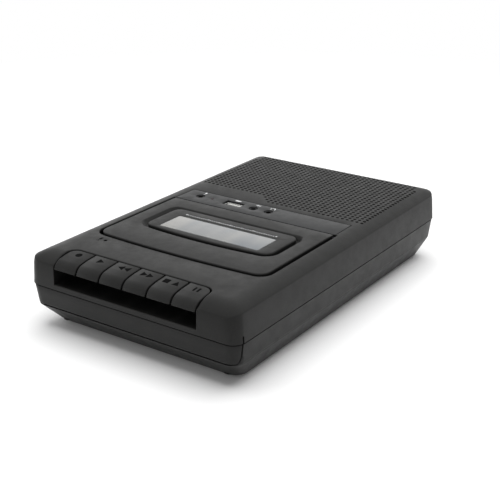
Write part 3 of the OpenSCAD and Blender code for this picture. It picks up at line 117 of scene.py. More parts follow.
# Camera in metres and degrees; focal length and frame in pixels of the photograph; sensor width
CAMERA_PLACE, CAMERA_YAW, CAMERA_PITCH = (0.3772, -0.5475, 0.2976), 34.455, 22.148
FOCAL_PIXELS, FRAME_PIXELS, SENSOR = 1052.6, 500, 36.0


# Small geometry helpers
def rounded_outline(corners, steps=8):
    """Counter-clockwise outline through [(x, y, radius)] with an arc at each corner."""
    out = []
    for i, (x, y, r) in enumerate(corners):
        here = Vector((x, y))
        if r <= 0:
            out.append(here)
            continue
        back = (Vector(corners[i - 1][:2]) - here).normalized()
        ahead = (Vector(corners[(i + 1) % len(corners)][:2]) - here).normalized()
        half = back.angle(ahead) / 2
        centre = here + (back + ahead).normalized() * (r / math.sin(half))
        start = here + back * (r / math.tan(half)) - centre
        end = here + ahead * (r / math.tan(half)) - centre
        a0 = math.atan2(start.y, start.x)
        sweep = (math.atan2(end.y, end.x) - a0 + math.pi) % (2 * math.pi) - math.pi
        for k in range(steps + 1):
            a = a0 + sweep * k / steps
            out.append(centre + r * Vector((math.cos(a), math.sin(a))))
    return out


def rounded_box(x0, x1, y0, y1, r, steps=4):
    """Outline of a rectangle with rounded corners."""
    return rounded_outline([(x0, y0, r), (x1, y0, r), (x1, y1, r), (x0, y1, r)], steps)


def divided(loop, step):
    """The outline with its long straight edges cut into pieces no longer than step."""
    out = []
    for i, p in enumerate(loop):
        q = loop[(i + 1) % len(loop)]
        parts = max(1, math.ceil((q - p).length / step - 1e-6))
        out += [p.lerp(q, k / parts) for k in range(parts)]
    return out


def grown(loop, d):
    """The outline moved outwards by d, or inwards where d is negative. d may be one number per point."""
    out = []
    for i, p in enumerate(loop):
        e0 = (p - loop[i - 1]).normalized()
        e1 = (loop[(i + 1) % len(loop)] - p).normalized()
        n0, n1 = Vector((e0.y, -e0.x)), Vector((e1.y, -e1.x))
        reach = d[i] if isinstance(d, list) else d
        out.append(p + (n0 + n1) * (reach / max(0.3, 1 + n0.dot(n1))))
    return out


def circle(x, y, r, sides=12):
    """Outline of a circle."""
    turns = [2 * math.pi * k / sides for k in range(sides)]
    return [Vector((x + r * math.cos(a), y + r * math.sin(a))) for a in turns]


def bowed_plan(half, y0, y1, bow, front_r, rear_r):
    """Outline with a front edge that bows forward, as the door and its lens have."""
    rear_steps, front_steps, bow_steps = 6, 8, 24
    bow_r = (half * half + bow * bow) / (2 * bow)
    cy = y0 + bow_r
    fx = half - front_r
    fy = cy - math.sqrt((bow_r - front_r) ** 2 - fx * fx)
    lean = math.asin(fx / (bow_r - front_r))

    def arc(x, y, r, a0, a1, n, with_ends=True):
        """Points along part of a circle."""
        turns = [a0 + (a1 - a0) * k / n for k in (range(n + 1) if with_ends else range(1, n))]
        return [Vector((x + r * math.cos(a), y + r * math.sin(a))) for a in turns]
    q = math.pi / 2
    return (arc(half - rear_r, y1 - rear_r, rear_r, 0, q, rear_steps)
            + arc(-half + rear_r, y1 - rear_r, rear_r, q, 2 * q, rear_steps)
            + arc(-fx, fy, front_r, 2 * q, 3 * q - lean, front_steps)
            + arc(0, cy, bow_r, 3 * q - lean, 3 * q + lean, bow_steps, with_ends=False)
            + arc(fx, fy, front_r, 3 * q + lean, 4 * q, front_steps))


def inside(loop, x, y):
    """Whether a point lies inside an outline."""
    hit = False
    for i, p in enumerate(loop):
        q = loop[i - 1]
        if (p.y > y) != (q.y > y) and x < (q.x - p.x) * (y - p.y) / (q.y - p.y) + p.x:
            hit = not hit
    return hit


def skin(bm, outer, holes=(), height=0.0, inner=(), down=False):
    """Fills the area between an outline and its holes. Returns the rim vertices of each outline."""
    loops = [outer, *holes]
    points, edges = [], []
    for loop in loops:
        n, first = len(loop), len(points)
        edges += [(first + i, first + (i + 1) % n) for i in range(n)]
        points += loop
    points += list(inner)
    verts, _, faces, origin, _, _ = delaunay_2d_cdt(points, edges, [], 1, 1e-7)
    owner = [k for k, loop in enumerate(loops) for _ in loop] + [-1 - i for i in range(len(inner))]
    owners = [owner[ids[0]] for ids in origin]
    z = height if callable(height) else lambda x, y: height
    made = [bm.verts.new((v.x, v.y, z(v.x, v.y))) for v in verts]
    for f in faces:
        a, b, c = (verts[i] for i in f)
        first = owners[f[0]]
        if first >= 0 and all(owners[i] == first for i in f):
            mid = (a + b + c) / 3
            if inside(loops[first], mid.x, mid.y) != (first == 0):
                continue
        turn = (b - a).cross(c - a)
        ring = [made[i] for i in f]
        if (turn < 0) != down:
            ring.reverse()
        bm.faces.new(ring)
    known = {i: made[k] for k, ids in enumerate(origin) for i in ids}
    rims, first = [], 0
    for loop in loops:
        rims.append([known[first + i] for i in range(len(loop))])
        first += len(loop)
    return rims


def ring_of(bm, loop, z):
    """Points along an outline at a height."""
    return [bm.verts.new((p.x, p.y, z)) for p in loop]


def stitch(bm, upper, lower, into_hole=False):
    """Wall between two rings of the same length."""
    n = len(upper)
    for i in range(n):
        j = (i + 1) % n
        quad = (upper[i], lower[i], lower[j], upper[j])
        bm.faces.new(quad[::-1] if into_hole else quad)


def eased_wall(bm, rim, loop, z, r, foot, foot_rim=None, hole=False, steps=3):
    """Rounded edge from a flat rim into a wall that goes down to foot. rim lies r inside the outline."""
    side = -1 if hole else 1
    last = rim
    for k in range(1, steps + 1):
        a = math.pi / 2 * k / steps
        new = ring_of(bm, grown(loop, -side * r * (1 - math.sin(a))), z - r * (1 - math.cos(a)))
        stitch(bm, last, new, hole)
        last = new
    stitch(bm, last, foot_rim or ring_of(bm, loop, foot), hole)


def slab(bm, outline, holes, top_z, low_z, ease, hole_ease=0.0, hole_steps=3):
    """Flat plate with rounded upper edges, also round its holes."""
    top = skin(bm, grown(outline, -ease), [grown(hole, hole_ease) for hole in holes], top_z)
    under = skin(bm, outline, holes, low_z, down=True)
    eased_wall(bm, top[0], outline, top_z, ease, low_z, under[0])
    for k, hole in enumerate(holes, 1):
        eased_wall(bm, top[k], hole, top_z, hole_ease, low_z, under[k], hole=True, steps=hole_steps)


def closed_rings(bm, rings):
    """Walls from ring to ring, with a face on the first and on the last."""
    for a, b in zip(rings, rings[1:]):
        stitch(bm, a, b)
    bm.faces.new(rings[0])
    bm.faces.new(rings[-1][::-1])


def soft_box(bm, low, high, r, segments=2):
    """Box with rounded edges."""
    size = [b - a for a, b in zip(low, high)]
    mid = [(b + a) / 2 for a, b in zip(low, high)]
    fit = Matrix.Translation(mid) @ Matrix.Diagonal((*size, 1))
    made = bmesh.ops.create_cube(bm, size=1, matrix=fit)["verts"]
    edges = list({e for v in made for e in v.link_edges})
    bmesh.ops.bevel(bm, geom=edges, offset=r, segments=segments, profile=0.5, affect="EDGES",
                    clamp_overlap=True)


def along_x(x, y, z):
    """Place of a turned solid whose axis runs along X from a point."""
    return Matrix.Translation((x, y, z)) @ Matrix.Rotation(math.pi / 2, 4, "Y")


def turned_solid(bm, profile, sides, at):
    """Solid turned about Z from (radius, z) pairs that start and end on the axis, then moved to its place."""
    rings = []
    for r, z in profile:
        if r < 1e-6:
            rings.append([bm.verts.new(at @ Vector((0, 0, z)))])
        else:
            rings.append([bm.verts.new(at @ Vector((r * math.cos(t), r * math.sin(t), z)))
                          for t in (2 * math.pi * k / sides for k in range(sides))])
    for a, b in zip(rings, rings[1:]):
        for k in range(sides):
            j = (k + 1) % sides
            if len(a) == 1:
                bm.faces.new((a[0], b[j], b[k]))
            elif len(b) == 1:
                bm.faces.new((a[k], a[j], b[0]))
            else:
                bm.faces.new((a[k], a[j], b[j], b[k]))


def shaded(mesh, sharp):
    """Smooth shading, apart from the edges that turn by more than sharp degrees."""
    mesh.shade_smooth()
    mesh.set_sharp_from_angle(angle=math.radians(sharp))


def shown(name, data):
    """New object in the scene."""
    obj = bpy.data.objects.new(name, data)
    bpy.context.scene.collection.objects.link(obj)
    return obj


def finished(name, bm, material, sharp=SHARP_EDGE, closed=True):
    """Turns a millimetre bmesh into a shown object in metres."""
    loose = [v for v in bm.verts if not v.link_faces]
    bmesh.ops.delete(bm, geom=loose, context="VERTS")
    if closed:
        bmesh.ops.recalc_face_normals(bm, faces=bm.faces)
    mesh = bpy.data.meshes.new(name)
    bm.to_mesh(mesh)
    bm.free()
    mesh.transform(Matrix.Scale(MM, 4))
    mesh.materials.append(material)
    shaded(mesh, sharp)
    return shown(name, mesh)


def settled(obj, sharp=SHARP_EDGE):
    """Applies an object's modifiers to a plain mesh."""
    graph = bpy.context.evaluated_depsgraph_get()
    mesh = bpy.data.meshes.new_from_object(obj.evaluated_get(graph))
    obj.modifiers.clear()
    obj.data = mesh
    shaded(mesh, sharp)
    return obj


def thickened(obj, thickness):
    """Gives an open skin a wall on its inner side."""
    wall = obj.modifiers.new("wall", "SOLIDIFY")
    wall.thickness = thickness * MM
    wall.offset = -1
    return settled(obj)


def carved(obj, bm, operation="DIFFERENCE"):
    """Cuts or joins a millimetre bmesh with an object."""
    bmesh.ops.recalc_face_normals(bm, faces=bm.faces)
    mesh = bpy.data.meshes.new("tool")
    bm.to_mesh(mesh)
    bm.free()
    mesh.transform(Matrix.Scale(MM, 4))
    tool = shown("tool", mesh)
    cut = obj.modifiers.new("cut", "BOOLEAN")
    cut.operation, cut.object, cut.solver, cut.use_self = operation, tool, "EXACT", True
    settled(obj)
    bpy.data.objects.remove(tool)
    bpy.data.meshes.remove(mesh)
    return obj


def place(obj, body, slot, *nodes):
    """Sets a piece on its body and hides the solids that it stands for; the slot argument is not used."""
    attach(obj, body)
    if nodes:
        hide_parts(*nodes)
    return obj


# Materials
def feed(tree, socket, value):
    """Links an input to another node, or sets it to a plain value."""
    if isinstance(value, bpy.types.NodeSocket):
        tree.links.new(value, socket)
    else:
        socket.default_value = value


def add(tree, kind, props=None, **inputs):
    """New node with its properties set, and its inputs set or linked."""
    made = tree.nodes.new(kind)
    for key, value in (props or {}).items():
        setattr(made, key, value)
    for key, value in inputs.items():
        feed(tree, made.inputs[key.replace("_", " ")], value)
    return made


def maths(tree, operation, *values):
    """Result of a calculation on numbers or sockets."""
    made = tree.nodes.new("ShaderNodeMath")
    made.operation = operation
    for socket, value in zip(made.inputs, values):
        feed(tree, socket, value)
    return made.outputs[0]


def spread(tree, value, low, high, from_low=0.3, from_high=0.7):
    """A noise value moved to the range low..high."""
    made = add(tree, "ShaderNodeMapRange", Value=value, From_Min=from_low, From_Max=from_high,
               To_Min=low, To_Max=high)
    return made.outputs[0]


def between(tree, share, one, other):
    """Colour between two colours."""
    mix = tree.nodes.new("ShaderNodeMix")
    mix.data_type = "RGBA"
    tree.links.new(share, mix.inputs[0])
    for socket, value in ((mix.inputs[6], one), (mix.inputs[7], other)):
        feed(tree, socket, value if isinstance(value, bpy.types.NodeSocket) else (*value, 1))
    return mix.outputs[2]


def noise(tree, where, scale, detail=2.0, rough=0.5):
    """Value of a noise texture."""
    made = add(tree, "ShaderNodeTexNoise", Vector=where, Scale=scale, Detail=detail, Roughness=rough)
    return made.outputs[0]


def new_finish(name):
    """Empty material with a Principled shader, its tree and the object coordinates."""
    finish = bpy.data.materials.new(name)
    finish.use_nodes = True
    tree = finish.node_tree
    shader = tree.nodes["Principled BSDF"]
    where = tree.nodes.new("ShaderNodeTexCoord").outputs["Object"]
    return finish, tree, shader, where


def raised(tree, shader, height, strength, depth):
    """Fine relief on a finish, with its depth in metres."""
    bump = add(tree, "ShaderNodeBump", Height=height, Strength=strength, Distance=depth)
    tree.links.new(bump.outputs[0], shader.inputs["Normal"])


def edge_wear_and_highlight(tree, radius, rub_and_highlight):
    """Up to 1 on edges, 0 elsewhere: marks rubbed wear and a painted highlight along the edges; the last
    input says how strong they are at each place.
    """
    soft = add(tree, "ShaderNodeBevel", {"samples": 4}, Radius=radius).outputs[0]
    plain = tree.nodes.new("ShaderNodeNewGeometry").outputs["Normal"]
    dot = add(tree, "ShaderNodeVectorMath", {"operation": "DOT_PRODUCT"})
    tree.links.new(soft, dot.inputs[0])
    tree.links.new(plain, dot.inputs[1])
    edge = spread(tree, dot.outputs["Value"], 1.0, 0.0, 0.90, 0.995)
    return maths(tree, "MULTIPLY", edge, rub_and_highlight)


def moulded_plastic(name, colour, rough, grain_scale=1500, grain=0.35, wear_and_highlight=0.35):
    """Moulded plastic with a spark-eroded grain, a slow drift of tone, handling shine, and edges lightened
    partly by rubbed wear and partly by a painted highlight.
    """
    finish, tree, shader, where = new_finish(name)
    fine = noise(tree, where, grain_scale, 3, 0.6)
    drift = noise(tree, where, 22, 3)
    touch = noise(tree, where, 130, 4, 0.65)
    low, high = [0.86 * c for c in colour], [1.16 * c for c in colour]
    base = between(tree, spread(tree, drift, 0, 1), low, high)
    speck = between(tree, spread(tree, fine, 0, 0.5, 0.45, 0.8), base, [2.0 * c for c in colour])
    # How strongly the edges are lightened: partly rubbed wear, partly a painted highlight
    rub_and_highlight = spread(tree, touch, 0.25, wear_and_highlight)
    # Paler colour on the edges: partly rubbed wear, partly a painted highlight where light would catch them
    worn_and_highlit_colour = between(tree, edge_wear_and_highlight(tree, 0.0006, rub_and_highlight), speck, [3.0 * c + 0.01 for c in colour])
    tree.links.new(worn_and_highlit_colour, shader.inputs["Base Color"])
    tree.links.new(spread(tree, touch, rough - 0.06, rough + 0.06), shader.inputs["Roughness"])
    shader.inputs["Specular IOR Level"].default_value = 0.2
    raised(tree, shader, fine, grain, 0.00012)
    return finish


def plain_paint(name, colour, rough, shine=0.5):
    """Thin printed or filled mark, slightly uneven."""
    finish, tree, shader, where = new_finish(name)
    shader.inputs["Specular IOR Level"].default_value = shine
    patch = noise(tree, where, 900, 3)
    tree.links.new(between(tree, spread(tree, patch, 0, 1), [0.8 * c for c in colour], colour),
                   shader.inputs["Base Color"])
    tree.links.new(spread(tree, patch, rough - 0.08, rough + 0.08), shader.inputs["Roughness"])
    raised(tree, shader, patch, 0.1, 0.00005)
    return finish


def drawn_metal(name, colour, rough, along=(1, 1, 40)):
    """Bare or plated metal with drawing lines along one direction and dull spots."""
    streak, dull = 60, 0.175
    finish, tree, shader, where = new_finish(name)
    turned = add(tree, "ShaderNodeMapping", Vector=where, Scale=along).outputs[0]
    lines = noise(tree, turned, streak, 5, 0.7)
    spots = noise(tree, where, 180, 4)
    tone = between(tree, spread(tree, spots, 0, 1), [0.82 * c for c in colour], colour)
    tree.links.new(between(tree, spread(tree, lines, 0, 0.4), tone, [0.6 * c for c in colour]),
                   shader.inputs["Base Color"])
    tree.links.new(spread(tree, spots, rough, rough + dull), shader.inputs["Roughness"])
    shader.inputs["Metallic"].default_value = 1.0
    raised(tree, shader, lines, 0.15, 0.00006)
    return finish


def rubber_finish(name, colour):
    """Matt rubber with a little dust."""
    finish, tree, shader, where = new_finish(name)
    dust = noise(tree, where, 420, 5, 0.7)
    dusty = [3.5 * c + 0.02 for c in colour]
    tree.links.new(between(tree, spread(tree, dust, 0, 1, 0.45, 0.8), colour, dusty),
                   shader.inputs["Base Color"])
    tree.links.new(spread(tree, dust, 0.72, 0.9), shader.inputs["Roughness"])
    raised(tree, shader, dust, 0.3, 0.0001)
    return finish


def centred(tree, where, centre):
    """Coordinates that start at a centre given in millimetres."""
    made = add(tree, "ShaderNodeMapping", Vector=where, Location=(-centre[0] * MM, -centre[1] * MM, 0))
    return made.outputs[0]


def paper_finish(name):
    """Pressed paper of the speaker cone, with fibres and faint rings."""
    finish, tree, shader, where = new_finish(name)
    shifted = centred(tree, where, SPEAKER)
    fibre = noise(tree, where, 700, 6, 0.75)
    rings = add(tree, "ShaderNodeTexWave", {"wave_type": "RINGS", "rings_direction": "Z"},
                Vector=shifted, Scale=90, Distortion=0.6).outputs[1]
    tree.links.new(between(tree, spread(tree, fibre, 0, 1), (0.012, 0.012, 0.012), (0.035, 0.034, 0.032)),
                   shader.inputs["Base Color"])
    tree.links.new(spread(tree, fibre, 0.75, 0.92), shader.inputs["Roughness"])
    raised(tree, shader, maths(tree, "ADD", fibre, maths(tree, "MULTIPLY", rings, 0.4)), 0.35, 0.0002)
    return finish


def board_finish(name):
    """Circuit board: solder mask over copper tracks and pads."""
    finish, tree, shader, where = new_finish(name)
    cells = add(tree, "ShaderNodeTexVoronoi", {"distance": "CHEBYCHEV", "feature": "F1"},
                Vector=where, Scale=330).outputs["Distance"]
    tracks = add(tree, "ShaderNodeTexBrick", Vector=where, Scale=140, Mortar_Size=0.012).outputs["Fac"]
    pads = spread(tree, cells, 1, 0, 0.12, 0.2)
    mask = between(tree, tracks, (0.006, 0.055, 0.022), (0.018, 0.11, 0.04))
    tree.links.new(between(tree, pads, mask, (0.45, 0.42, 0.36)), shader.inputs["Base Color"])
    tree.links.new(spread(tree, cells, 0.25, 0.45), shader.inputs["Roughness"])
    raised(tree, shader, tracks, 0.2, 0.0001)
    return finish


def turned_metal(name, colour, centre, scale):
    """Metal with fine lathe rings about a centre."""
    finish, tree, shader, where = new_finish(name)
    rings = add(tree, "ShaderNodeTexWave", {"wave_type": "RINGS", "rings_direction": "Z"},
                Vector=centred(tree, where, centre), Scale=scale, Distortion=0.4, Detail=2.0).outputs[1]
    spots = noise(tree, where, 240, 4)
    tree.links.new(between(tree, spread(tree, spots, 0, 1), [0.8 * c for c in colour], colour),
                   shader.inputs["Base Color"])
    tree.links.new(spread(tree, rings, 0.25, 0.42, 0, 1), shader.inputs["Roughness"])
    shader.inputs["Metallic"].default_value = 1.0
    raised(tree, shader, rings, 0.25, 0.00005)
    return finish


def smoked_window_finish(name):
    """Clear pane, frosted a little and hazed by fine scratches, with a painted reflection: its colour drifts
    in broad slanted streaks between a cool and a warm grey.
    """
    finish, tree, shader, where = new_finish(name)
    cool, warm = (0.22, 0.24, 0.26), (0.40, 0.395, 0.375)
    # Painted reflection: broad slanted streaks of tone across the pane
    slanted = add(tree, "ShaderNodeMapping", Vector=where, Rotation=(0, 0, 0.7), Scale=(1, 0.35, 1))
    painted_reflection_streaks = noise(tree, slanted.outputs[0], 34, 2)
    long_way = add(tree, "ShaderNodeMapping", Vector=where, Scale=(30, 900, 30)).outputs[0]
    scratch = noise(tree, long_way, 4, 5, 0.7)
    tone = between(tree, spread(tree, painted_reflection_streaks, 0, 1, 0.35, 0.65), cool, warm)
    tree.links.new(tone, shader.inputs["Base Color"])
    tree.links.new(spread(tree, scratch, 0.12, 0.26), shader.inputs["Roughness"])
    shader.inputs["Transmission Weight"].default_value = 0.35
    shader.inputs["IOR"].default_value = 1.49
    raised(tree, shader, scratch, 0.04, 0.00004)
    return finish


def lamp_finish(name):
    """Unlit red lamp, dark and a little cloudy."""
    finish, tree, shader, where = new_finish(name)
    cloud = noise(tree, where, 900, 3)
    tree.links.new(between(tree, spread(tree, cloud, 0, 1), (0.016, 0.004, 0.004), (0.040, 0.007, 0.006)),
                   shader.inputs["Base Color"])
    tree.links.new(spread(tree, cloud, 0.12, 0.25), shader.inputs["Roughness"])
    shader.inputs["Transmission Weight"].default_value = 0.15
    return finish


charcoal = moulded_plastic("charcoal_plastic", (0.0090, 0.0090, 0.0086), 0.41)
strip_plastic = moulded_plastic("strip_plastic", (0.0185, 0.0190, 0.0195), 0.40, grain_scale=2200, grain=0.2)
# The keys' edges are lightened more: rubbed wear and a painted highlight
key_plastic = moulded_plastic("key_plastic", (0.0090, 0.0090, 0.0086), 0.40, grain_scale=1800, grain=0.25,
                              wear_and_highlight=0.5)
inner_black = moulded_plastic("black_plastic", (0.005, 0.005, 0.005), 0.55, grain_scale=1200, grain=0.3)
# Flat, matt near-black marks for engraved signs: their darkness is painted shade of the engraving
engraving_shade_black = plain_paint("engraving_shade_black", (0.003, 0.003, 0.003), 0.85, shine=0.05)
mark_white = plain_paint("mark_white", (0.78, 0.79, 0.80), 0.5)
smoked_window = smoked_window_finish("smoked_window")
plated_steel = drawn_metal("plated_steel", (0.58, 0.57, 0.55), 0.26)
bright_steel = drawn_metal("bright_steel", (0.72, 0.72, 0.71), 0.18, along=(1, 40, 1))
blued_steel = drawn_metal("blued_steel", (0.030, 0.030, 0.034), 0.42)
brass = drawn_metal("brass", (0.70, 0.50, 0.22), 0.28)
gold_plate = drawn_metal("gold_plate", (0.83, 0.60, 0.24), 0.2)
black_rubber = rubber_finish("black_rubber", (0.014, 0.014, 0.014))
belt_rubber = rubber_finish("belt_rubber", (0.02, 0.019, 0.018))
frame_paint = moulded_plastic("frame_paint", (0.05, 0.052, 0.054), 0.35, grain_scale=900, grain=0.2)
ferrite = moulded_plastic("ferrite", (0.05, 0.05, 0.052), 0.6, grain_scale=700, grain=0.5)
cone_paper = paper_finish("cone_paper")
board_green = board_finish("board_green")
fly_metal = turned_metal("fly_metal", (0.62, 0.62, 0.60), FLYWHEEL, 900)
lamp_red = lamp_finish("lamp_red")
tongue_white = plain_paint("tongue_white", (0.55, 0.55, 0.53), 0.4)


# Repeated pieces, made with Geometry Nodes; their sizes are in metres
def size_tree(label, sizes):
    """Empty node tree with one named input for each size, given in metres or as a whole number."""
    tree = bpy.data.node_groups.new(label, "GeometryNodeTree")
    face = tree.interface
    face.new_socket("Geometry", in_out="INPUT", socket_type="NodeSocketGeometry")
    keys = {}
    for size, value in sizes.items():
        kind = "NodeSocketInt" if isinstance(value, int) else "NodeSocketFloat"
        socket = face.new_socket(size, in_out="INPUT", socket_type=kind)
        socket.default_value = value
        keys[size] = socket.identifier
    face.new_socket("Geometry", in_out="OUTPUT", socket_type="NodeSocketGeometry")
    return tree, tree.nodes.new("NodeGroupInput").outputs, tree.nodes.new("NodeGroupOutput").inputs, keys


def lifted(tree, shape, z):
    """Shape moved up by z."""
    lift = tree.nodes.new("ShaderNodeCombineXYZ")
    feed(tree, lift.inputs[2], z)
    return add(tree, "GeometryNodeTransform", Geometry=shape, Translation=lift.outputs[0]).outputs[0]


def bands(tree, sides, pairs):
    """Turned surface: one cone band for each ((radius, z), (radius, z)) pair, the lower one first."""
    join = tree.nodes.new("GeometryNodeJoinGeometry")
    for (r0, z0), (r1, z1) in pairs:
        cone = add(tree, "GeometryNodeMeshCone", {"fill_type": "NONE"}, Vertices=sides, Radius_Bottom=r0,
                   Radius_Top=r1, Depth=maths(tree, "SUBTRACT", z1, z0)).outputs["Mesh"]
        tree.links.new(lifted(tree, cone, z0), join.inputs[0])
    return add(tree, "GeometryNodeMergeByDistance", Geometry=join.outputs[0], Distance=1e-7).outputs[0]


def set_on_points(tree, start, end, shape, material):
    """Stands a shape on each point, turned to the point's up direction, and closes the tree."""
    up = add(tree, "GeometryNodeInputNamedAttribute", {"data_type": "FLOAT_VECTOR"}, Name="up").outputs[0]
    turn = add(tree, "FunctionNodeAlignRotationToVector", {"axis": "Z"}, Vector=up).outputs[0]
    spots = add(tree, "GeometryNodeInstanceOnPoints", Points=start["Geometry"], Instance=shape, Rotation=turn)
    real = add(tree, "GeometryNodeRealizeInstances", Geometry=spots.outputs[0])
    done = add(tree, "GeometryNodeSetMaterial", Geometry=real.outputs[0], Material=material)
    tree.links.new(done.outputs[0], end["Geometry"])


def planted(name, points, ups, tree, keys, sizes):
    """Plain mesh of a tree's shape set on points given in millimetres."""
    mesh = bpy.data.meshes.new(name + "_points")
    mesh.from_pydata([tuple(MM * c for c in p) for p in points], [], [])
    up = mesh.attributes.new("up", "FLOAT_VECTOR", "POINT")
    for item, value in zip(up.data, ups):
        item.vector = value
    seed = shown(name + "_points", mesh)
    made = seed.modifiers.new("pieces", "NODES")
    made.node_group = tree
    for size, value in sizes.items():
        made[keys[size]] = value
    graph = bpy.context.evaluated_depsgraph_get()
    result = bpy.data.meshes.new_from_object(seed.evaluated_get(graph))
    seed.modifiers.clear()
    bpy.data.objects.remove(seed)
    bm = bmesh.new()
    bm.from_mesh(result)
    bmesh.ops.remove_doubles(bm, verts=bm.verts, dist=1e-7)
    bmesh.ops.recalc_face_normals(bm, faces=bm.faces)
    bm.to_mesh(result)
    bm.free()
    result.name = name
    shaded(result, SHARP_EDGE)
    return shown(name, result)


def eyelet_tree():
    """Softened rim and wall of one perforation."""
    tree, start, end, keys = size_tree("perforation", {
        "Rim Radius": 0.00136, "Hole Radius": 0.00105, "Depth": 0.0021, "Sides": 12})
    rim, hole, sides = start["Rim Radius"], start["Hole Radius"], start["Sides"]
    low = maths(tree, "MULTIPLY", start["Depth"], -1.0)
    gap = maths(tree, "SUBTRACT", rim, hole)
    mid_r = maths(tree, "MULTIPLY_ADD", gap, 0.35, hole)
    mid_z = maths(tree, "MULTIPLY", gap, -0.3)
    lip_z = maths(tree, "MULTIPLY", gap, -1.0)
    foot = maths(tree, "ADD", low, -0.00001)
    shape = bands(tree, sides, [((mid_r, mid_z), (rim, 0.0)), ((hole, lip_z), (mid_r, mid_z)),
                                ((hole, low), (hole, lip_z)), ((rim, foot), (hole, low)),
                                ((rim, foot), (rim, 0.0))])
    set_on_points(tree, start, end, shape, charcoal)
    return tree, keys


def screw_tree(material):
    """Screw with a domed head and a cross recess, standing on its seat."""
    tree, start, end, keys = size_tree("screw", {
        "Head Radius": 0.0022, "Head Height": 0.0014, "Shank Radius": 0.0011, "Shank Length": 0.006,
        "Sides": 20})
    head, tall, sides = start["Head Radius"], start["Head Height"], start["Sides"]
    shank = start["Shank Radius"]
    tip = maths(tree, "MULTIPLY", start["Shank Length"], -1.0)
    point = maths(tree, "SUBTRACT", tip, shank)
    shoulder = maths(tree, "MULTIPLY", tall, 0.45)
    dome = maths(tree, "MULTIPLY", tall, 0.9)
    inner = maths(tree, "MULTIPLY", head, 0.72)
    under = maths(tree, "MULTIPLY", tall, 0.02)
    shape = bands(tree, sides, [((0.0, point), (shank, tip)), ((shank, tip), (shank, 0.0)),
                                ((shank, 0.0), (head, under)), ((head, under), (head, shoulder)),
                                ((head, shoulder), (inner, dome)), ((inner, dome), (0.0, tall))])
    long_side = maths(tree, "MULTIPLY", head, 1.15)
    thin_side = maths(tree, "MULTIPLY", head, 0.26)
    cross = tree.nodes.new("GeometryNodeJoinGeometry")
    for x, y in ((long_side, thin_side), (thin_side, long_side)):
        size = tree.nodes.new("ShaderNodeCombineXYZ")
        for socket, value in zip(size.inputs, (x, y, tall)):
            tree.links.new(value, socket)
        bar = add(tree, "GeometryNodeMeshCube", Size=size.outputs[0]).outputs["Mesh"]
        tree.links.new(lifted(tree, bar, maths(tree, "MULTIPLY", tall, 0.95)), cross.inputs[0])
    cut = add(tree, "GeometryNodeMeshBoolean", {"operation": "DIFFERENCE"}, Mesh_1=shape)
    tree.links.new(cross.outputs[0], cut.inputs["Mesh 2"])
    set_on_points(tree, start, end, cut.outputs["Mesh"], material)
    return tree, keys


def collar_tree(material):
    """Rolled ring round a socket."""
    tree, start, end, keys = size_tree("collar", {
        "Outer Radius": 0.003, "Bore Radius": 0.0018, "Height": 0.0008, "Sides": 32})
    out, bore, tall, sides = start["Outer Radius"], start["Bore Radius"], start["Height"], start["Sides"]
    wide = maths(tree, "SUBTRACT", out, bore)
    out_in = maths(tree, "MULTIPLY_ADD", wide, -0.22, out)
    bore_out = maths(tree, "MULTIPLY_ADD", wide, 0.30, bore)
    high = maths(tree, "MULTIPLY", tall, 0.72)
    near_top = maths(tree, "MULTIPLY", tall, 0.995)
    foot = maths(tree, "MULTIPLY", tall, 0.02)
    shape = bands(tree, sides, [((bore, 0.0), (out, foot)), ((out, foot), (out, high)),
                                ((out, high), (out_in, near_top)), ((out_in, near_top), (bore_out, tall)),
                                ((bore, high), (bore_out, tall)), ((bore, 0.0), (bore, high))])
    set_on_points(tree, start, end, shape, material)
    return tree, keys


def pad_tree(material):
    """Round rubber foot with a softened sole."""
    tree, start, end, keys = size_tree("pad", {"Radius": 0.004, "Height": 0.0015, "Sides": 32})
    r, tall, sides = start["Radius"], start["Height"], start["Sides"]
    top = maths(tree, "MULTIPLY", tall, 1.02)
    low = maths(tree, "MULTIPLY", tall, 0.3)
    sole_r = maths(tree, "MULTIPLY", r, 0.9)
    foot = maths(tree, "MULTIPLY", tall, 0.01)
    dish = maths(tree, "MULTIPLY", r, 0.6)
    rise = maths(tree, "MULTIPLY", tall, 0.12)
    middle = maths(tree, "MULTIPLY", rise, 1.1)
    shape = bands(tree, sides, [((r, tall), (0.0, top)), ((r, low), (r, tall)), ((sole_r, foot), (r, low)),
                                ((sole_r, foot), (dish, rise)), ((dish, rise), (0.0, middle))])
    set_on_points(tree, start, end, shape, material)
    return tree, keys


def rib_tree(material):
    """Row of rounded grip ribs lying along X."""
    tree, start, end, keys = size_tree("grip_ribs", {"Length": 0.03, "Radius": 0.0006, "Sides": 10})
    rod = add(tree, "GeometryNodeMeshCylinder", Vertices=start["Sides"], Radius=start["Radius"],
              Depth=start["Length"])
    laid = add(tree, "GeometryNodeTransform", Geometry=rod.outputs["Mesh"], Rotation=(0, math.pi / 2, 0))
    set_on_points(tree, start, end, laid.outputs[0], material)
    return tree, keys


# Top shell
def crown(x, y):
    """Height of the top skin: flat, with bevels that sweep smoothly round the corners."""
    u = max(abs(x) - FLAT_X, 0)
    side = SIDE_BEVEL_R - math.sqrt(SIDE_BEVEL_R ** 2 - u * u)
    f, r = max(-y - FLAT_FRONT, 0), max(y - FLAT_REAR, 0)
    end = FRONT_BEVEL_R - math.sqrt(FRONT_BEVEL_R ** 2 - f * f)
    end += REAR_BEVEL_R - math.sqrt(REAR_BEVEL_R ** 2 - r * r)
    return TOP - math.hypot(side, end)


def crown_up(x, y):
    """Direction that points straight out of the top skin."""
    e = 0.05
    slope_x = (crown(x + e, y) - crown(x - e, y)) / (2 * e)
    slope_y = (crown(x, y + e) - crown(x, y - e)) / (2 * e)
    return Vector((-slope_x, -slope_y, 1)).normalized()


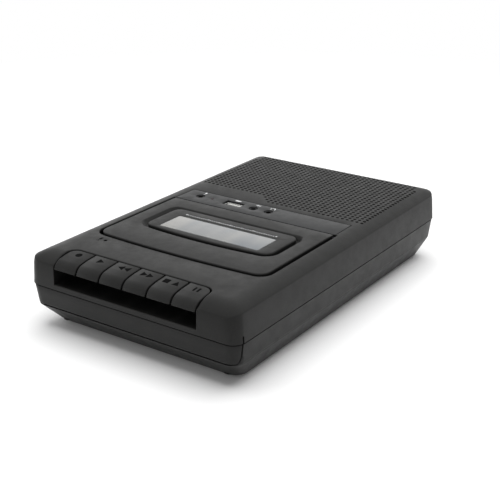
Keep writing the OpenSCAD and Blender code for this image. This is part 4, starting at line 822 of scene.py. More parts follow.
def perforations():
    """Centres of the grille holes: a bare patch at the front left and rounded rear corners."""
    far_x, far_y, slack = -HOLES_X0, HOLES_Y0 + (ROWS - 1) * PITCH, 0.2
    out = []
    for j in range(ROWS):
        y = HOLES_Y0 + j * PITCH
        for i in range(COLUMNS):
            x = HOLES_X0 + i * PITCH
            bare = j < len(ROW_STARTS) and x < ROW_STARTS[j]
            past_x, past_y = max(abs(x) - far_x + GRILLE_R, 0), max(y - far_y + GRILLE_R, 0)
            if not bare and math.hypot(past_x, past_y) <= GRILLE_R + slack:
                out.append((x, y))
    return out


def top_opening():
    """Outline of the opening for the door and the control strip behind it."""
    gap, arc_end, step = 1.2, -60, 8
    door = bowed_plan(DOOR_HALF, DOOR_FRONT, DOOR_REAR, DOOR_BOW, DOOR_CORNER, 0.6)
    front = [p for p in grown(door, gap) if p.y < arc_end]
    edge_x, step_y = DOOR_HALF + gap, DOOR_REAR + 0.4
    strip_x, rear = STRIP_HALF + 0.25, STRIP_REAR + 0.25
    rest = [Vector(p) for p in ((edge_x, step_y), (strip_x, step_y), (strip_x, rear),
                                (-strip_x, rear), (-strip_x, step_y), (-edge_x, step_y))]
    return divided(front + rest, step)


def shell_outline():
    """Outline at the seam with the key opening, and with a point at each edge of the wall's openings."""
    x0, x1, rear, r = KEY_OPEN
    loop = rounded_outline([(-HALF_W, -HALF_L, CORNER_R), (x0, -HALF_L, 0), (x0, rear, r), (x1, rear, r),
                            (x1, -HALF_L, 0), (HALF_W, -HALF_L, CORNER_R), (HALF_W, HALF_L, CORNER_R),
                            (-HALF_W, HALF_L, CORNER_R)])
    loop = divided(loop, 5)
    for y in (BAR_END, BASE_FRONT, *WHEEL_GAP, *POWER_GAP):
        cut = []
        for p, q in zip(loop, loop[1:] + loop[:1]):
            cut.append(p)
            if abs(p.x) > SIDE_X and (p.y - y) * (q.y - y) < -1e-9 and (y < 0 or p.x < 0):
                cut.append(p.lerp(q, (y - p.y) / (q.y - p.y)))
        loop = cut
    return loop


def point_kinds(loop):
    """For each point: notch on the key opening's edge, corner at its two front ends, wall elsewhere."""
    x0, x1, rear, _ = KEY_OPEN
    near = 1e-6
    kinds = []
    for p in loop:
        if abs(p.y + HALF_L) < near and min(abs(p.x - x0), abs(p.x - x1)) < near:
            kinds.append("corner")
        elif x0 - near < p.x < x1 + near and p.y < rear + near:
            kinds.append("notch")
        else:
            kinds.append("wall")
    return kinds


def leaning(p, kind, share):
    """A wall point moved in by the walls' lean at a share of the top shell's height."""
    if kind == "notch":
        return p.copy()
    kx, ky = 1 - SIDE_LEAN * share / HALF_W, 1 - END_LEAN * share / HALF_L
    return Vector((p.x if kind == "corner" else p.x * kx, p.y * ky))


def bevel_points(holes, keep_in):
    """Evenly spread points on the bevels, clear of the openings and of the grille holes."""
    step, clear, margin = 2.3, 2.4, 2
    taken = {(round((x - HOLES_X0) / PITCH), round((y - HOLES_Y0) / PITCH)) for x, y in holes}
    reach_x, reach_y = math.ceil(HALF_W / step), math.ceil(HALF_L / step)
    spaced = []
    for a in range(-reach_x, reach_x + 1):
        for b in range(-reach_y, reach_y + 1):
            x, y = a * step, b * step
            flat = abs(x) < FLAT_X - margin and -FLAT_FRONT + margin < y < FLAT_REAR - margin
            by_door = abs(x) < STRIP_HALF + 2.5 and DOOR_FRONT - 3.2 < y < STRIP_REAR + 2.75
            if flat or by_door:
                continue
            i, j = round((x - HOLES_X0) / PITCH), round((y - HOLES_Y0) / PITCH)
            around = [(i + di, j + dj) for di in (-1, 0, 1) for dj in (-1, 0, 1)]
            away = [math.hypot(HOLES_X0 + u * PITCH - x, HOLES_Y0 + v * PITCH - y)
                    for u, v in around if (u, v) in taken]
            if min(away, default=clear) >= clear and inside(keep_in, x, y):
                spaced.append(Vector((x, y)))
    return spaced


def rolled_edge(bm, rim, lip, drop):
    """Rings that round the top skin over into the walls."""
    rings = []
    for t in (0.25, 0.5, 0.75, 1.0):
        ring = []
        for inner, outer in zip(rim, lip):
            height = crown(outer.x, outer.y)
            low = Vector((outer.x, outer.y, height - drop))
            top = Vector((inner.x, inner.y, crown(inner.x, inner.y)))
            mid = Vector((outer.x, outer.y, height))
            ring.append(bm.verts.new((1 - t) ** 2 * top + 2 * t * (1 - t) * mid + t * t * low))
        rings.append(ring)
    return rings


def wall_columns(bm, loop, kinds, tops):
    """Column of points under each point of the rolled edge, with None where the key opening is."""
    seam_in = grown(loop, -SEAM_GROOVE)
    columns = []
    for i, p in enumerate(loop):
        room = min(1, (tops[i].co.z - 0.4 - SEAM) / (WALL_LEVELS[-1] - SEAM))
        column = []
        for k, level in enumerate(WALL_LEVELS):
            z = SEAM + (level - SEAM) * (1 if k <= SHELF_LEVEL else room)
            if kinds[i] == "notch" and k < SHELF_LEVEL:
                column.append(None)
                continue
            at = leaning(p, kinds[i], (z - SEAM) / (TOP - SEAM))
            if k == 0:
                at = Vector((at.x, at.y + SEAM_GROOVE)) if kinds[i] == "corner" else seam_in[i]
            column.append(bm.verts.new((at.x, at.y, z)))
        columns.append(column)
    return columns


def outer_walls(bm, loop, columns, tops):
    """Faces between the columns, left open at the handle's ends and at the left wall's openings."""
    n = len(loop)
    for i in range(n):
        j = (i + 1) % n
        mid = (loop[i] + loop[j]) / 2
        one, other = columns[i] + [tops[i]], columns[j] + [tops[j]]
        handle_notch = abs(mid.x) > SIDE_X and BAR_END < mid.y < BASE_FRONT
        wall_gap = mid.x < -SIDE_X and any(y0 < mid.y < y1 for y0, y1 in (WHEEL_GAP, POWER_GAP))
        for k in range(len(WALL_LEVELS)):
            four = (one[k + 1], one[k], other[k], other[k + 1])
            left_open = (handle_notch and k <= SHELF_LEVEL) or (wall_gap and k == GAP_LEVEL)
            if not left_open and None not in four:
                bm.faces.new(four)


def finger_recess(bm, loop, kinds, columns):
    """Shelf under the keys and the lip in front of it."""
    lip = 0.4
    left, right = (next(i for i, p in enumerate(loop) if kinds[i] == "corner" and p.x * s > 0)
                   for s in (-1, 1))
    a, b = columns[left], columns[right]
    below = SHELF_LEVEL - 1
    for k in range(below):
        bm.faces.new((a[k + 1], a[k], b[k], b[k + 1]))
    a_low, a_end, b_low, b_end = a[below], a[SHELF_LEVEL], b[below], b[SHELF_LEVEL]
    shelf = [bm.verts.new((v.co.x, v.co.y + lip, RECESS_Z)) for v in (a_end, b_end)]
    bm.faces.new((shelf[0], a_low, b_low, shelf[1]))
    bm.faces.new((a_low, shelf[0], a_end))
    bm.faces.new((b_low, b_end, shelf[1]))
    path = [columns[i][SHELF_LEVEL] for i in range(left + 1, right)]
    bm.faces.new([shelf[0], shelf[1], b_end, *reversed(path), a_end])


def top_shell():
    """Bevelled skin, walls, key opening, perforated field and microphone port, given a thickness."""
    edge_r, opening_ease, port_sides = 0.8, 0.6, 20
    loop = shell_outline()
    kinds = point_kinds(loop)
    lip = [leaning(p, kind, 1) for p, kind in zip(loop, kinds)]
    rim = grown(lip, -edge_r)
    opening, port, holes = top_opening(), circle(*MIC_PORT, PORT_R, port_sides), perforations()
    cuts = [grown(opening, opening_ease), circle(*MIC_PORT, PORT_R + PORT_EASE, port_sides)]
    cuts += [circle(x, y, HOLE_RIM) for x, y in holes]
    bm = bmesh.new()
    rims = skin(bm, rim, cuts, crown, bevel_points(holes, grown(rim, -0.9)))
    bend = rolled_edge(bm, rim, lip, edge_r)
    columns = wall_columns(bm, loop, kinds, bend[-1])
    for upper, lower in zip([rims[0], *bend], bend):
        stitch(bm, upper, lower)
    outer_walls(bm, loop, columns, bend[-1])
    finger_recess(bm, loop, kinds, columns)
    for edge, outline, ease in ((rims[1], opening, opening_ease), (rims[2], port, PORT_EASE)):
        eased_wall(bm, edge, outline, TOP, ease, TOP - ease - 0.3, hole=True)
    shell = thickened(finished("top_shell_skin", bm, charcoal, closed=False), SHELL_T)
    place(shell, "case", "case_plastic", "top_shell")


def grille():
    """Rims and walls of the perforations, standing square to the skin."""
    holes = perforations()
    tree, keys = eyelet_tree()
    spots = [(x, y, crown(x, y)) for x, y in holes]
    ups = [crown_up(x, y) for x, y in holes]
    sizes = {"Rim Radius": (HOLE_RIM + 0.01) * MM, "Hole Radius": HOLE_R * MM, "Depth": HOLE_DEEP * MM}
    place(planted("grille_perforations", spots, ups, tree, keys, sizes), "case", "case_plastic")


# Base and handle
def base_size(z):
    """Half width, front and rear of the base outline at a height."""
    if z <= BAND_Z:
        low, high, t = *BASE_SIZES[:2], (z - BASE_Z) / (BAND_Z - BASE_Z)
    else:
        low, high, t = *BASE_SIZES[1:], (z - BAND_Z) / (SEAM - BAND_Z)
    return [a + (b - a) * t for a, b in zip(low, high)]


def hook_back(z, start, across, tall):
    """How far the rounded gap behind the handle's end reaches forward at a height."""
    drop = start + tall - z
    if drop <= 0:
        return 0.0
    return across * (1 - math.sqrt(max(0.0, 1 - (min(drop, tall) / tall) ** 2)))


def base_loop(z, inset):
    """Outline of the base at a height, with the same count of points at every height."""
    side, front, rear = base_size(z)
    corners = rounded_box(-side, side, front, rear, CORNER_R, 8)
    per = len(corners) // 4
    out = []
    for k in range(4):
        out += corners[k * per:(k + 1) * per]
        a, b = out[-1], corners[((k + 1) * per) % len(corners)]
        parts = 24 if k % 2 else 16
        out += [a.lerp(b, s / parts) for s in range(1, parts)]
    return grown(out, -inset)


def base_skin():
    """Base from its underside over the leaning band up to the seam, cut back behind the handle."""
    hook_z, hook_long, hook_tall = BAND_Z + 0.35, 4.2, 5.2
    levels = [(BASE_Z, 1.0), (BASE_Z + 0.12, 0.42), (BASE_Z + 0.45, 0.08), (BASE_Z + 1.0, 0.0), (8.0, 0.0)]
    levels += [(BAND_Z - 0.5, 0.0), (BAND_Z - 0.12, 0.06), (BAND_Z + 0.1, 0.2)]
    levels += [(hook_z + 0.75 * k, 0.0) for k in range(8)]
    levels += [(24.0, 0.0), (SEAM - 0.55, 0.0), (SEAM - 0.3, SEAM_GROOVE)]
    bm = bmesh.new()
    last = None
    for z, inset in levels:
        loop = base_loop(z, inset)
        if z > BAND_Z + 0.2:
            for p in loop:
                forward = hook_back(z, hook_z, hook_long, hook_tall) if abs(p.x) > SIDE_X else 0.0
                p.y = max(p.y, BASE_FRONT - forward)
        if last is None:
            last = skin(bm, loop, (), z, down=True)[0]
            continue
        new = ring_of(bm, loop, z)
        stitch(bm, new, last)
        last = new
    return thickened(finished("bottom_shell_skin", bm, charcoal, closed=False), SHELL_T)


def bottom_shell():
    """Base with screw posts, battery bay, hinge pockets, screw holes and the handle's two slots."""
    base = base_skin()
    x0, x1, y0, y1 = BAY
    bay_wall, bay_foot, bay_top, below = 1.5, 2.4, 19.3, 0.5
    ledge_wide, ledge_top = 1.2, 3.5
    pocket_half, pocket_front, pocket_top = 4.3, 47.2, 3.8
    post_r, post_z0, post_z1 = 4.6, 2.6, 28.6
    bore_r, bore_top, slot_gap = 3.0, 8.0, 0.3
    posts = bmesh.new()
    soft_box(posts, (x0 - bay_wall, y0 - bay_wall, bay_foot),
             (x1 + bay_wall, y1 + bay_wall, bay_top + bay_wall), 0.6)
    for x, y in CASE_SCREWS:
        post = [(0, post_z0), (post_r, post_z0), (post_r, post_z1), (0, post_z1)]
        turned_solid(posts, post, 24, Matrix.Translation((x, y, 0)))
    carved(base, posts, "UNION")
    room = bmesh.new()
    soft_box(room, (x0, y0, below), (x1, y1, bay_top), 0.5)
    carved(base, room)
    ledge = bmesh.new()
    soft_box(ledge, (x0 - ledge_wide, y0 - ledge_wide, below),
             (x1 + ledge_wide, y1 + ledge_wide, ledge_top), 0.35)
    carved(base, ledge)
    pockets = bmesh.new()
    for x in COVER_HINGES:
        soft_box(pockets, (x - pocket_half, pocket_front, below),
                 (x + pocket_half, y0 + 0.5, pocket_top), 0.3)
    for x, y in CASE_SCREWS:
        bore = [(0, below), (bore_r, below), (bore_r, bore_top), (0, bore_top)]
        turned_solid(pockets, bore, 28, Matrix.Translation((x, y, 0)))
    half = ARM_HALF + slot_gap
    for x in (-ARM_X, ARM_X):
        soft_box(pockets, (x - half, BASE_FRONT - 1.0, ARM_Z[0] - slot_gap),
                 (x + half, BASE_FRONT + 3.4, ARM_Z[1] + slot_gap), 0.5)
    carved(base, pockets)
    place(base, "case", "case_plastic", "bottom_shell")


def handle_loop(z, inset):
    """Outline of the handle at a height: front bar, both corner wraps and the bar's rear face."""
    hook_z, hook_long, hook_tall = BAND_Z + 0.4, 3.2, 5.4
    side, front, _ = base_size(z)
    side, front = side - inset, front + inset
    back = BAR_END - hook_back(z, hook_z, hook_long, hook_tall) - inset
    bar, step = BAR_BACK - inset, WRAP_X + (inset if back > BAR_BACK else -inset)
    cx, cy = side - CORNER_R, front + CORNER_R
    end = math.asin(max(-1.0, min(1.0, (back - cy) / CORNER_R)))
    right = [Vector((cx + CORNER_R * math.cos(a), cy + CORNER_R * math.sin(a)))
             for a in (-math.pi / 2 + (end + math.pi / 2) * k / 10 for k in range(11))]
    left = [Vector((-p.x, p.y)) for p in reversed(right)]
    front_line = [left[-1].lerp(right[0], k / 16) for k in range(1, 16)]
    inner = [Vector(p) for p in ((step, back), (step, bar), (-step, bar), (-step, back))]
    return left + front_line + right + inner


def carry_handle():
    """Front bar that wraps both corners, with two slide arms and their end hooks."""
    low, high, hook_in, hook_long = BAND_Z + 0.8, SEAM - 0.4, 71.0, 4.0
    levels = [(low, 0.5), (low + 0.12, 0.16), (low + 0.5, 0.0)]
    levels += [(low + 0.5 + 0.82 * k, 0.0) for k in range(1, 7)] + [(24.0, 0.0)]
    levels += [(high - 0.5, 0.0), (high - 0.12, 0.16), (high, 0.5)]
    bm = bmesh.new()
    last = skin(bm, handle_loop(*levels[0]), (), low, down=True)[0]
    for z, inset in levels[1:-1]:
        new = ring_of(bm, handle_loop(z, inset), z)
        stitch(bm, new, last)
        last = new
    stitch(bm, skin(bm, handle_loop(*levels[-1]), (), high)[0], last)
    z0, z1 = ARM_Z
    for s in (-1, 1):
        x = s * ARM_X
        soft_box(bm, (x - ARM_HALF, BAR_BACK - 0.2, z0), (x + ARM_HALF, ARM_BACK, z1), 0.4)
        x0, x1 = sorted((s * WRAP_X, s * hook_in))
        soft_box(bm, (x0, ARM_BACK - hook_long, z0), (x1, ARM_BACK, z1), 0.4)
    place(finished("carry_handle_bar", bm, charcoal), "handle", "case_plastic", "carry_handle")


# Keys
def key_top(y):
    """Height of the keys' sloping upper face."""
    return KEY_TOP - (KEY_REAR - y) * REAR_FALL


def key_middle(index):
    """Middle of a key across the row."""
    return KEY_X0 + (index + 0.5) * KEY_PITCH


def key_profile(rear, inset):
    """Side outline of a key cap from its rear foot over the top to the lip, drawn in by inset."""
    ease = 0.55
    points = [(rear, KEY_LIP + 0.3), (rear, 47.0), (rear, key_top(rear) - ease)]
    for k in range(1, 4):
        a = math.pi / 2 * k / 4
        points.append((rear - ease * (1 - math.cos(a)), key_top(rear) - ease * (1 - math.sin(a))))
    first = rear - ease
    slope = [first + (CREASE_Y + 0.5 - first) * t for t in (0, 0.35, 0.7, 1)]
    points += [(y, key_top(y)) for y in slope]
    crease = key_top(CREASE_Y)
    touch = (NOSE_Y - NOSE_R * math.sin(NOSE_LEAN), NOSE_Z + NOSE_R * math.cos(NOSE_LEAN))
    points += [(CREASE_Y - 0.1, crease - 0.04), (CREASE_Y - 0.6, crease + (touch[1] - crease) * 0.14)]
    points += [(CREASE_Y + (touch[0] - CREASE_Y) * t, crease + (touch[1] - crease) * t) for t in (0.5, 1)]
    start = math.pi / 2 + NOSE_LEAN
    for k in range(1, 9):
        a = start + (NOSE_END - start) * k / 8
        points.append((NOSE_Y + NOSE_R * math.cos(a), NOSE_Z + NOSE_R * math.sin(a)))
    y, z = points[-1]
    points += [(y - 0.12, z - 0.12), (y - 0.14, KEY_LIP + 0.25), (y + 0.1, KEY_LIP), (y + 1.2, KEY_LIP)]
    points += [(rear - 0.5, KEY_LIP)]
    loop = [Vector(p) for p in points]
    return grown(loop, -inset) if inset else loop


def key_cap(bm, index):
    """Cap with softened sides, rounded at the row's two ends, and the lever that hangs it on the shaft."""
    x0, w = KEY_X0 + index * KEY_PITCH + CAP_GAP / 2, KEY_PITCH - CAP_GAP
    corner_r, ease, last = 6.0, 0.5, len(KEY_WORDS) - 1
    soft_side = [(0.0, ease), (0.07, ease * 0.62), (0.2, ease * 0.28), (ease, 0.0)]
    corner_steps = [(d, 0.0) for d in (0.9, 1.5, 2.3, 3.3, 4.6, corner_r)]
    stations = soft_side + (corner_steps if index == 0 else []) + [(w / 2, 0.0)]
    far_side = soft_side + (corner_steps if index == last else [])
    stations += [(w - d, inset) for d, inset in reversed(far_side)]
    rings = []
    for d, inset in stations:
        near = d if index == 0 else w - d if index == last else corner_r
        cut = corner_r - math.sqrt(corner_r ** 2 - (corner_r - min(max(near, 0.0), corner_r)) ** 2)
        rings.append([bm.verts.new((x0 + d, p.x, p.y)) for p in key_profile(KEY_REAR - cut, inset)])
    closed_rings(bm, rings)
    mid, half = x0 + w / 2, LEVER_HALF
    closed_rings(bm, [[bm.verts.new((x, y, z)) for y, z in LEVER] for x in (mid - half, mid + half)])
    soft, long = 0.3, 2 * half
    hub = [(0, 0), (HUB_R - soft, 0), (HUB_R, soft), (HUB_R, long - soft), (HUB_R - soft, long), (0, long)]
    turned_solid(bm, hub, 28, along_x(mid - half, *SHAFT))


def laid_marks(name, shapes, surface, material, rise=0.05, sink=0.3):
    """Flat marks set into a surface: each shape is an outline in plan."""
    bm = bmesh.new()
    for shape in shapes:
        loop = divided([Vector(p) for p in shape], 1.2)
        top = skin(bm, loop, (), lambda x, y: surface(x, y) + rise)[0]
        foot = skin(bm, loop, (), lambda x, y: surface(x, y) - sink, down=True)[0]
        stitch(bm, top, foot)
    return finished(name, bm, material)


def moved(shapes, x, y, scale=1.0):
    """Outlines scaled and set at a place."""
    return [[(x + scale * p[0], y + scale * p[1]) for p in shape] for shape in shapes]


def box_mark(x0, y0, x1, y1):
    """Outline of a plain rectangle."""
    return [(x0, y0), (x1, y0), (x1, y1), (x0, y1)]


def key_signs():
    """Outlines and scale of each key's sign, in the order of the keys."""
    right = [(-1.25, -1.4), (1.25, 0), (-1.25, 1.4)]
    left = [(1.25, -1.4), (1.25, 1.4), (-1.25, 0)]
    square = box_mark(-3.6, -1.3, -1.0, 1.3)
    lift = [(0.6, -1.3), (3.6, -1.3), (2.1, 1.4)]
    bar = box_mark(-0.45, -1.4, 0.45, 1.4)
    dot = [tuple(p) for p in circle(0, 0, 1.4, 20)]

    def pair(shape, apart):
        """The same shape twice, side by side."""
        return moved([shape], -apart, 0) + moved([shape], apart, 0)
    return [([dot], 1.6), ([right], 1.8), (pair(left, 1.3), 1.75), (pair(right, 1.3), 1.75),
            ([square, lift], 1.65), (pair(bar, 0.95), 1.5)]


def keys_row():
    """Six keys, each with its sign."""
    sign_y = -113.2
    for index, (word, (shapes, size)) in enumerate(zip(KEY_WORDS, key_signs())):
        bm = bmesh.new()
        key_cap(bm, index)
        cap = finished("key_cap_" + word, bm, key_plastic, sharp=32)
        place(cap, word + "_key", "key_plastic", "key_" + word)
        sign = moved(shapes, key_middle(index), sign_y, size)
        # The sign is a flat near-black mark, painted shade of an engraved sign
        mark = laid_marks("key_mark_" + word, sign, lambda x, y: key_top(y), engraving_shade_black)
        place(mark, word + "_key", "black_plastic")


def spring_outline(half_t):
    """Side outline of a curled leaf that rises from the rail to a key's lever."""
    path = [Vector(p) for p in SPRING_PATH]
    last = len(path) - 1
    ahead = [(path[min(i + 1, last)] - path[max(i - 1, 0)]).normalized() for i in range(len(path))]
    side = [half_t * Vector((a.y, -a.x)) for a in ahead]
    return [p + s for p, s in zip(path, side)] + [p - s for p, s in zip(reversed(path), reversed(side))]


def key_return_springs():
    """Brass rail with one curled leaf under each key's lever; each leaf has a mesh of its own."""
    foot_y, foot_z, half_t, half_w, ease = -103.5, 29.4, 0.2, 2.0, 0.05
    rail = bmesh.new()
    rail_end = (KEY_X0 + len(KEY_WORDS) * KEY_PITCH, foot_y + 2.5, foot_z + 2 * half_t)
    soft_box(rail, (KEY_X0, foot_y, foot_z), rail_end, 0.1)
    place(finished("key_spring_rail", rail, brass), "case", "brass", "key_springs")
    outline = spring_outline(half_t)
    stations = ((-half_w, ease), (ease - half_w, 0), (half_w - ease, 0), (half_w, ease))
    for index, word in enumerate(KEY_WORDS):
        mid = key_middle(index)
        bm = bmesh.new()
        closed_rings(bm, [[bm.verts.new((mid + x, p.x, p.y)) for p in grown(outline, -inset)]
                          for x, inset in stations])
        leaf = place(finished("key_spring_" + word, bm, brass), "case", "brass")
        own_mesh(leaf)


# Door and lens
def lens_outline():
    """Plan of the raised lens panel."""
    return bowed_plan(LENS_HALF, LENS_FRONT, LENS_REAR, bow=3, front_r=5, rear_r=5)


def round_hinge_edge(bm):
    """Rounds the lid's rear edge about the hinge line."""
    knuckle_r = DOOR_REAR - HINGE_Y
    for v in bm.verts:
        away = math.hypot(v.co.y - HINGE_Y, v.co.z - HINGE_Z)
        if v.co.y > HINGE_Y and v.co.z > HINGE_Z and away > knuckle_r:
            v.co.y = HINGE_Y + (v.co.y - HINGE_Y) * knuckle_r / away
            v.co.z = HINGE_Z + (v.co.z - HINGE_Z) * knuckle_r / away


def door_lid():
    """Lid with a bowed front edge, a sloping recess round the lens and a catch under its front."""
    ease, foot, rear_run, side_run = 0.75, DOOR_TOP - 2.6, 1.7, 2.2
    catch_x, catch_y, catch_drop = (-39, -33), (-77.8, -75.8), 2
    half, front = DOOR_HALF - LID_SIDE_IN, DOOR_FRONT + LID_FRONT_IN
    plan = divided(bowed_plan(half, front, DOOR_REAR, DOOR_BOW, DOOR_CORNER, 1.0), 8)
    lens = lens_outline()
    recess = [Vector((p.x, min(p.y, LENS_REAR + 2.6))) for p in grown(lens, 5.3)]
    recess = [p for i, p in enumerate(recess) if (p - recess[i - 1]).length > 0.05]
    tray = grown(lens, 7.6)
    x0, x1, y0, y1 = WINDOW
    pane = [Vector(p) for p in box_mark(x0, y0, x1, y1)]
    bend = [Vector((8 * k, HINGE_Y + d)) for d in (0, 0.5, 1.0) for k in range(-7, 8)]
    bm = bmesh.new()
    top = skin(bm, grown(plan, -ease), [grown(recess, 0.9)], DOOR_TOP, bend)
    under = skin(bm, plan, [tray], foot, down=True)
    eased_wall(bm, top[0], plan, DOOR_TOP, ease, foot, under[0], steps=4)
    round_hinge_edge(bm)
    # The recess has a rounded brim and a sloping wall that is steeper at the rear
    run = [rear_run if p.y > LENS_REAR + 2 else side_run for p in recess]
    last = top[1]
    for inset, drop in ((-0.3, 0.12), (0.0, 0.35), (0.35, 0.75)):
        new = ring_of(bm, grown(recess, -inset), DOOR_TOP - drop)
        stitch(bm, last, new, into_hole=True)
        last = new
    bed = skin(bm, grown(recess, [-r for r in run]), [pane], LENS_BED)
    low = ring_of(bm, grown(recess, [0.3 - r for r in run]), LENS_BED + 0.25)
    stitch(bm, last, low, into_hole=True)
    stitch(bm, low, bed[0], into_hole=True)
    sole = skin(bm, tray, [pane], DOOR_UNDER, down=True)
    stitch(bm, under[1], sole[0])
    stitch(bm, bed[1], sole[1], into_hole=True)
    soft_box(bm, (catch_x[0], catch_y[0], DOOR_UNDER - catch_drop), (catch_x[1], catch_y[1], foot + 0.4), 0.2)
    place(finished("cassette_door_lid", bm, charcoal), "door", "case_plastic", "cassette_door")


def lens_pieces():
    """Raised panel, the clear pane in it and a plain index scale on the panel."""
    frame_hole = rounded_box(*WINDOW, 1.2, 5)
    bm = bmesh.new()
    slab(bm, grown(lens_outline(), 1.2), [frame_hole], LENS_TOP, LENS_BED, 0.9, 0.35)
    place(finished("lens_panel", bm, charcoal), "door", "case_plastic", "door_lens")
    bm = bmesh.new()
    slab(bm, grown(frame_hole, 0.05), [], LENS_TOP - 0.1, LENS_TOP - 2.0, 0.3)
    place(finished("lens_window", bm, smoked_window), "door", "smoked_lens")
    count, half, foot, thin = 40, 36.0, -21.4, 0.3
    ticks = []
    for k in range(count + 1):
        tall = 1.9 if k % 10 == 0 else 1.4 if k % 5 == 0 else 0.9
        x = -half + 2 * half * k / count
        ticks.append(box_mark(x - thin, foot, x + thin, foot + tall))
    scale = laid_marks("lens_scale", ticks, lambda x, y: LENS_TOP, mark_white, 0.03, 0.2)
    place(scale, "door", "strip_plastic")


# Control strip
def strip_plate():
    """Plate with three round sockets, the light's hole and the memory socket's slot."""
    low, u, v = TOP - 1.2, 7.4, 3.8
    plan = divided(rounded_box(-STRIP_HALF, STRIP_HALF, STRIP_FRONT, STRIP_REAR, 0.9), 10)
    holes = [circle(x, SOCKET_Y, 3.3, 36) for x in ROUND_SOCKETS]
    holes += [circle(LED_X, SOCKET_Y, 1.15, 20)]
    holes += [rounded_box(MEMORY_X - u, MEMORY_X + u, SOCKET_Y - v, SOCKET_Y + v, 0.6)]
    bm = bmesh.new()
    slab(bm, plan, holes, TOP, low, 0.3, 0.25)
    place(finished("control_strip_plate", bm, strip_plastic), "case", "strip_plastic", "control_strip")


def socket_collars():
    """Rolled collars inside the round sockets."""
    collar_z = 48.5
    tree, keys = collar_tree(inner_black)
    spots = [(x, SOCKET_Y, collar_z) for x in ROUND_SOCKETS]
    sizes = {"Outer Radius": 0.0031, "Bore Radius": 0.0018, "Height": 0.0009}
    place(planted("socket_collars", spots, [UP] * len(spots), tree, keys, sizes), "case", "black_plastic")


def half_ring(r0, r1):
    """Outline of the upper half of a ring."""
    steps = 10
    angles = [math.pi * k / steps for k in range(steps + 1)]
    return ([(r1 * math.cos(a), r1 * math.sin(a)) for a in angles]
            + [(-r0 * math.cos(a), r0 * math.sin(a)) for a in angles])


def talk_sign():
    """Outlines of the talk sign: a capsule, its stem and a foot."""
    head = rounded_box(-0.5, 0.5, -0.5, 1.5, 0.45, 3)
    return [[tuple(p) for p in head], box_mark(-0.14, -1.6, 0.14, -0.7), box_mark(-0.7, -1.75, 0.7, -1.55)]


def strip_signs():
    """Generic signs behind the sockets."""
    into = [box_mark(-1.5, -0.25, -0.2, 0.25), [(-0.2, -0.8), (1.0, 0), (-0.2, 0.8)],
            box_mark(1.15, -1.0, 1.45, 1.0)]
    phones = [half_ring(1.15, 1.45), box_mark(-1.6, -0.9, -0.9, 0.1), box_mark(0.9, -0.9, 1.6, 0.1)]
    drive = [box_mark(-1.9, -0.7, 0.9, 0.7), box_mark(1.05, -0.45, 1.9, 0.45)]
    sign_y = SOCKET_Y + 6.4
    signs = moved(talk_sign(), MIC_X, sign_y, 1.1) + moved(drive, MEMORY_X, sign_y, 1.2)
    signs += moved(into, LINE_X, sign_y, 1.2) + moved(phones, PHONES_X, sign_y - 0.2, 1.2)
    marks = laid_marks("strip_signs", signs, lambda x, y: TOP, mark_white, 0.03, 0.2)
    place(marks, "case", "strip_plastic")


def memory_socket():
    """Rolled steel mouth, pale tongue and four contacts."""
    u, v, wall, lip_z, foot_z = 7.2, 3.6, 0.6, 49.8, 36.0
    plug_u, plug_v, plug_tall, tongue_u = 6.9, 3.2, 3.0, 5.6
    contacts, contact_step = 4, 2.4
    mouth = rounded_box(MEMORY_X - u, MEMORY_X + u, SOCKET_Y - v, SOCKET_Y + v, 0.9, 5)
    bm = bmesh.new()
    slab(bm, mouth, [grown(mouth, -wall)], lip_z, foot_z, 0.2, 0.2)
    soft_box(bm, (MEMORY_X - plug_u, SOCKET_Y - plug_v, foot_z),
             (MEMORY_X + plug_u, SOCKET_Y + plug_v, foot_z + plug_tall), 0.2)
    place(finished("memory_socket_shell", bm, bright_steel), "case", "plated_steel", "usb_socket")
    bm = bmesh.new()
    soft_box(bm, (MEMORY_X - tongue_u, SOCKET_Y + 0.4, 38.8),
             (MEMORY_X + tongue_u, SOCKET_Y + 2.3, 49.6), 0.25)
    place(finished("memory_socket_tongue", bm, tongue_white), "case", "strip_plastic")
    bm = bmesh.new()
    for k in range(contacts):
        x = MEMORY_X + (k - (contacts - 1) / 2) * contact_step
        soft_box(bm, (x - 0.55, SOCKET_Y + 0.28, 39.5), (x + 0.55, SOCKET_Y + 0.5, 48.9), 0.06, 1)
    place(finished("memory_socket_contacts", bm, gold_plate), "case", "brass")


def port_sign():
    """Talk sign beside the built-in microphone."""
    sign = moved(talk_sign(), MIC_PORT[0] - 4.6, MIC_PORT[1] + 0.3, 1.7)
    # The sign is a flat near-black mark, painted shade of an engraved sign
    marks = laid_marks("port_sign", sign, lambda x, y: TOP, engraving_shade_black, 0.03, 0.2)
    place(marks, "case", "black_plastic")


# Left wall
def wall_x(z):
    """Left outer wall at a height."""
    return -HALF_W + SIDE_LEAN * (z - SEAM) / (TOP - SEAM)


def wall_plate(name, gap, hole, ease):
    """Plate that fills an opening of the left wall, with a softened hole through it."""
    fit, sink, deep = 0.05, 0.05, 2.4
    outline = rounded_box(gap[0] + fit, gap[1] - fit, GAP_Z[0] + fit, GAP_Z[1] - fit, 0.4, 3)
    bm = bmesh.new()
    slab(bm, outline, [hole], 0.0, -deep, 0.2, ease, 6)
    for v in bm.verts:
        y, z, out = v.co
        v.co = (wall_x(z) + sink - out, y, z)
    place(finished(name, bm, charcoal), "case", "case_plastic")


def wall_plates():
    """Plates round the volume wheel and the power socket."""
    half, low, high = 9.0, WHEEL_Z - 0.5, WHEEL_Z + WHEEL_T + 0.5
    wheel_slot = rounded_box(WHEEL_Y - half, WHEEL_Y + half, low, high, 1.2, 5)
    wall_plate("volume_slot_plate", WHEEL_GAP, wheel_slot, 1.1)
    wall_plate("power_plate", POWER_GAP, circle(*POWER_SOCKET, 3.25, 32), 0.5)


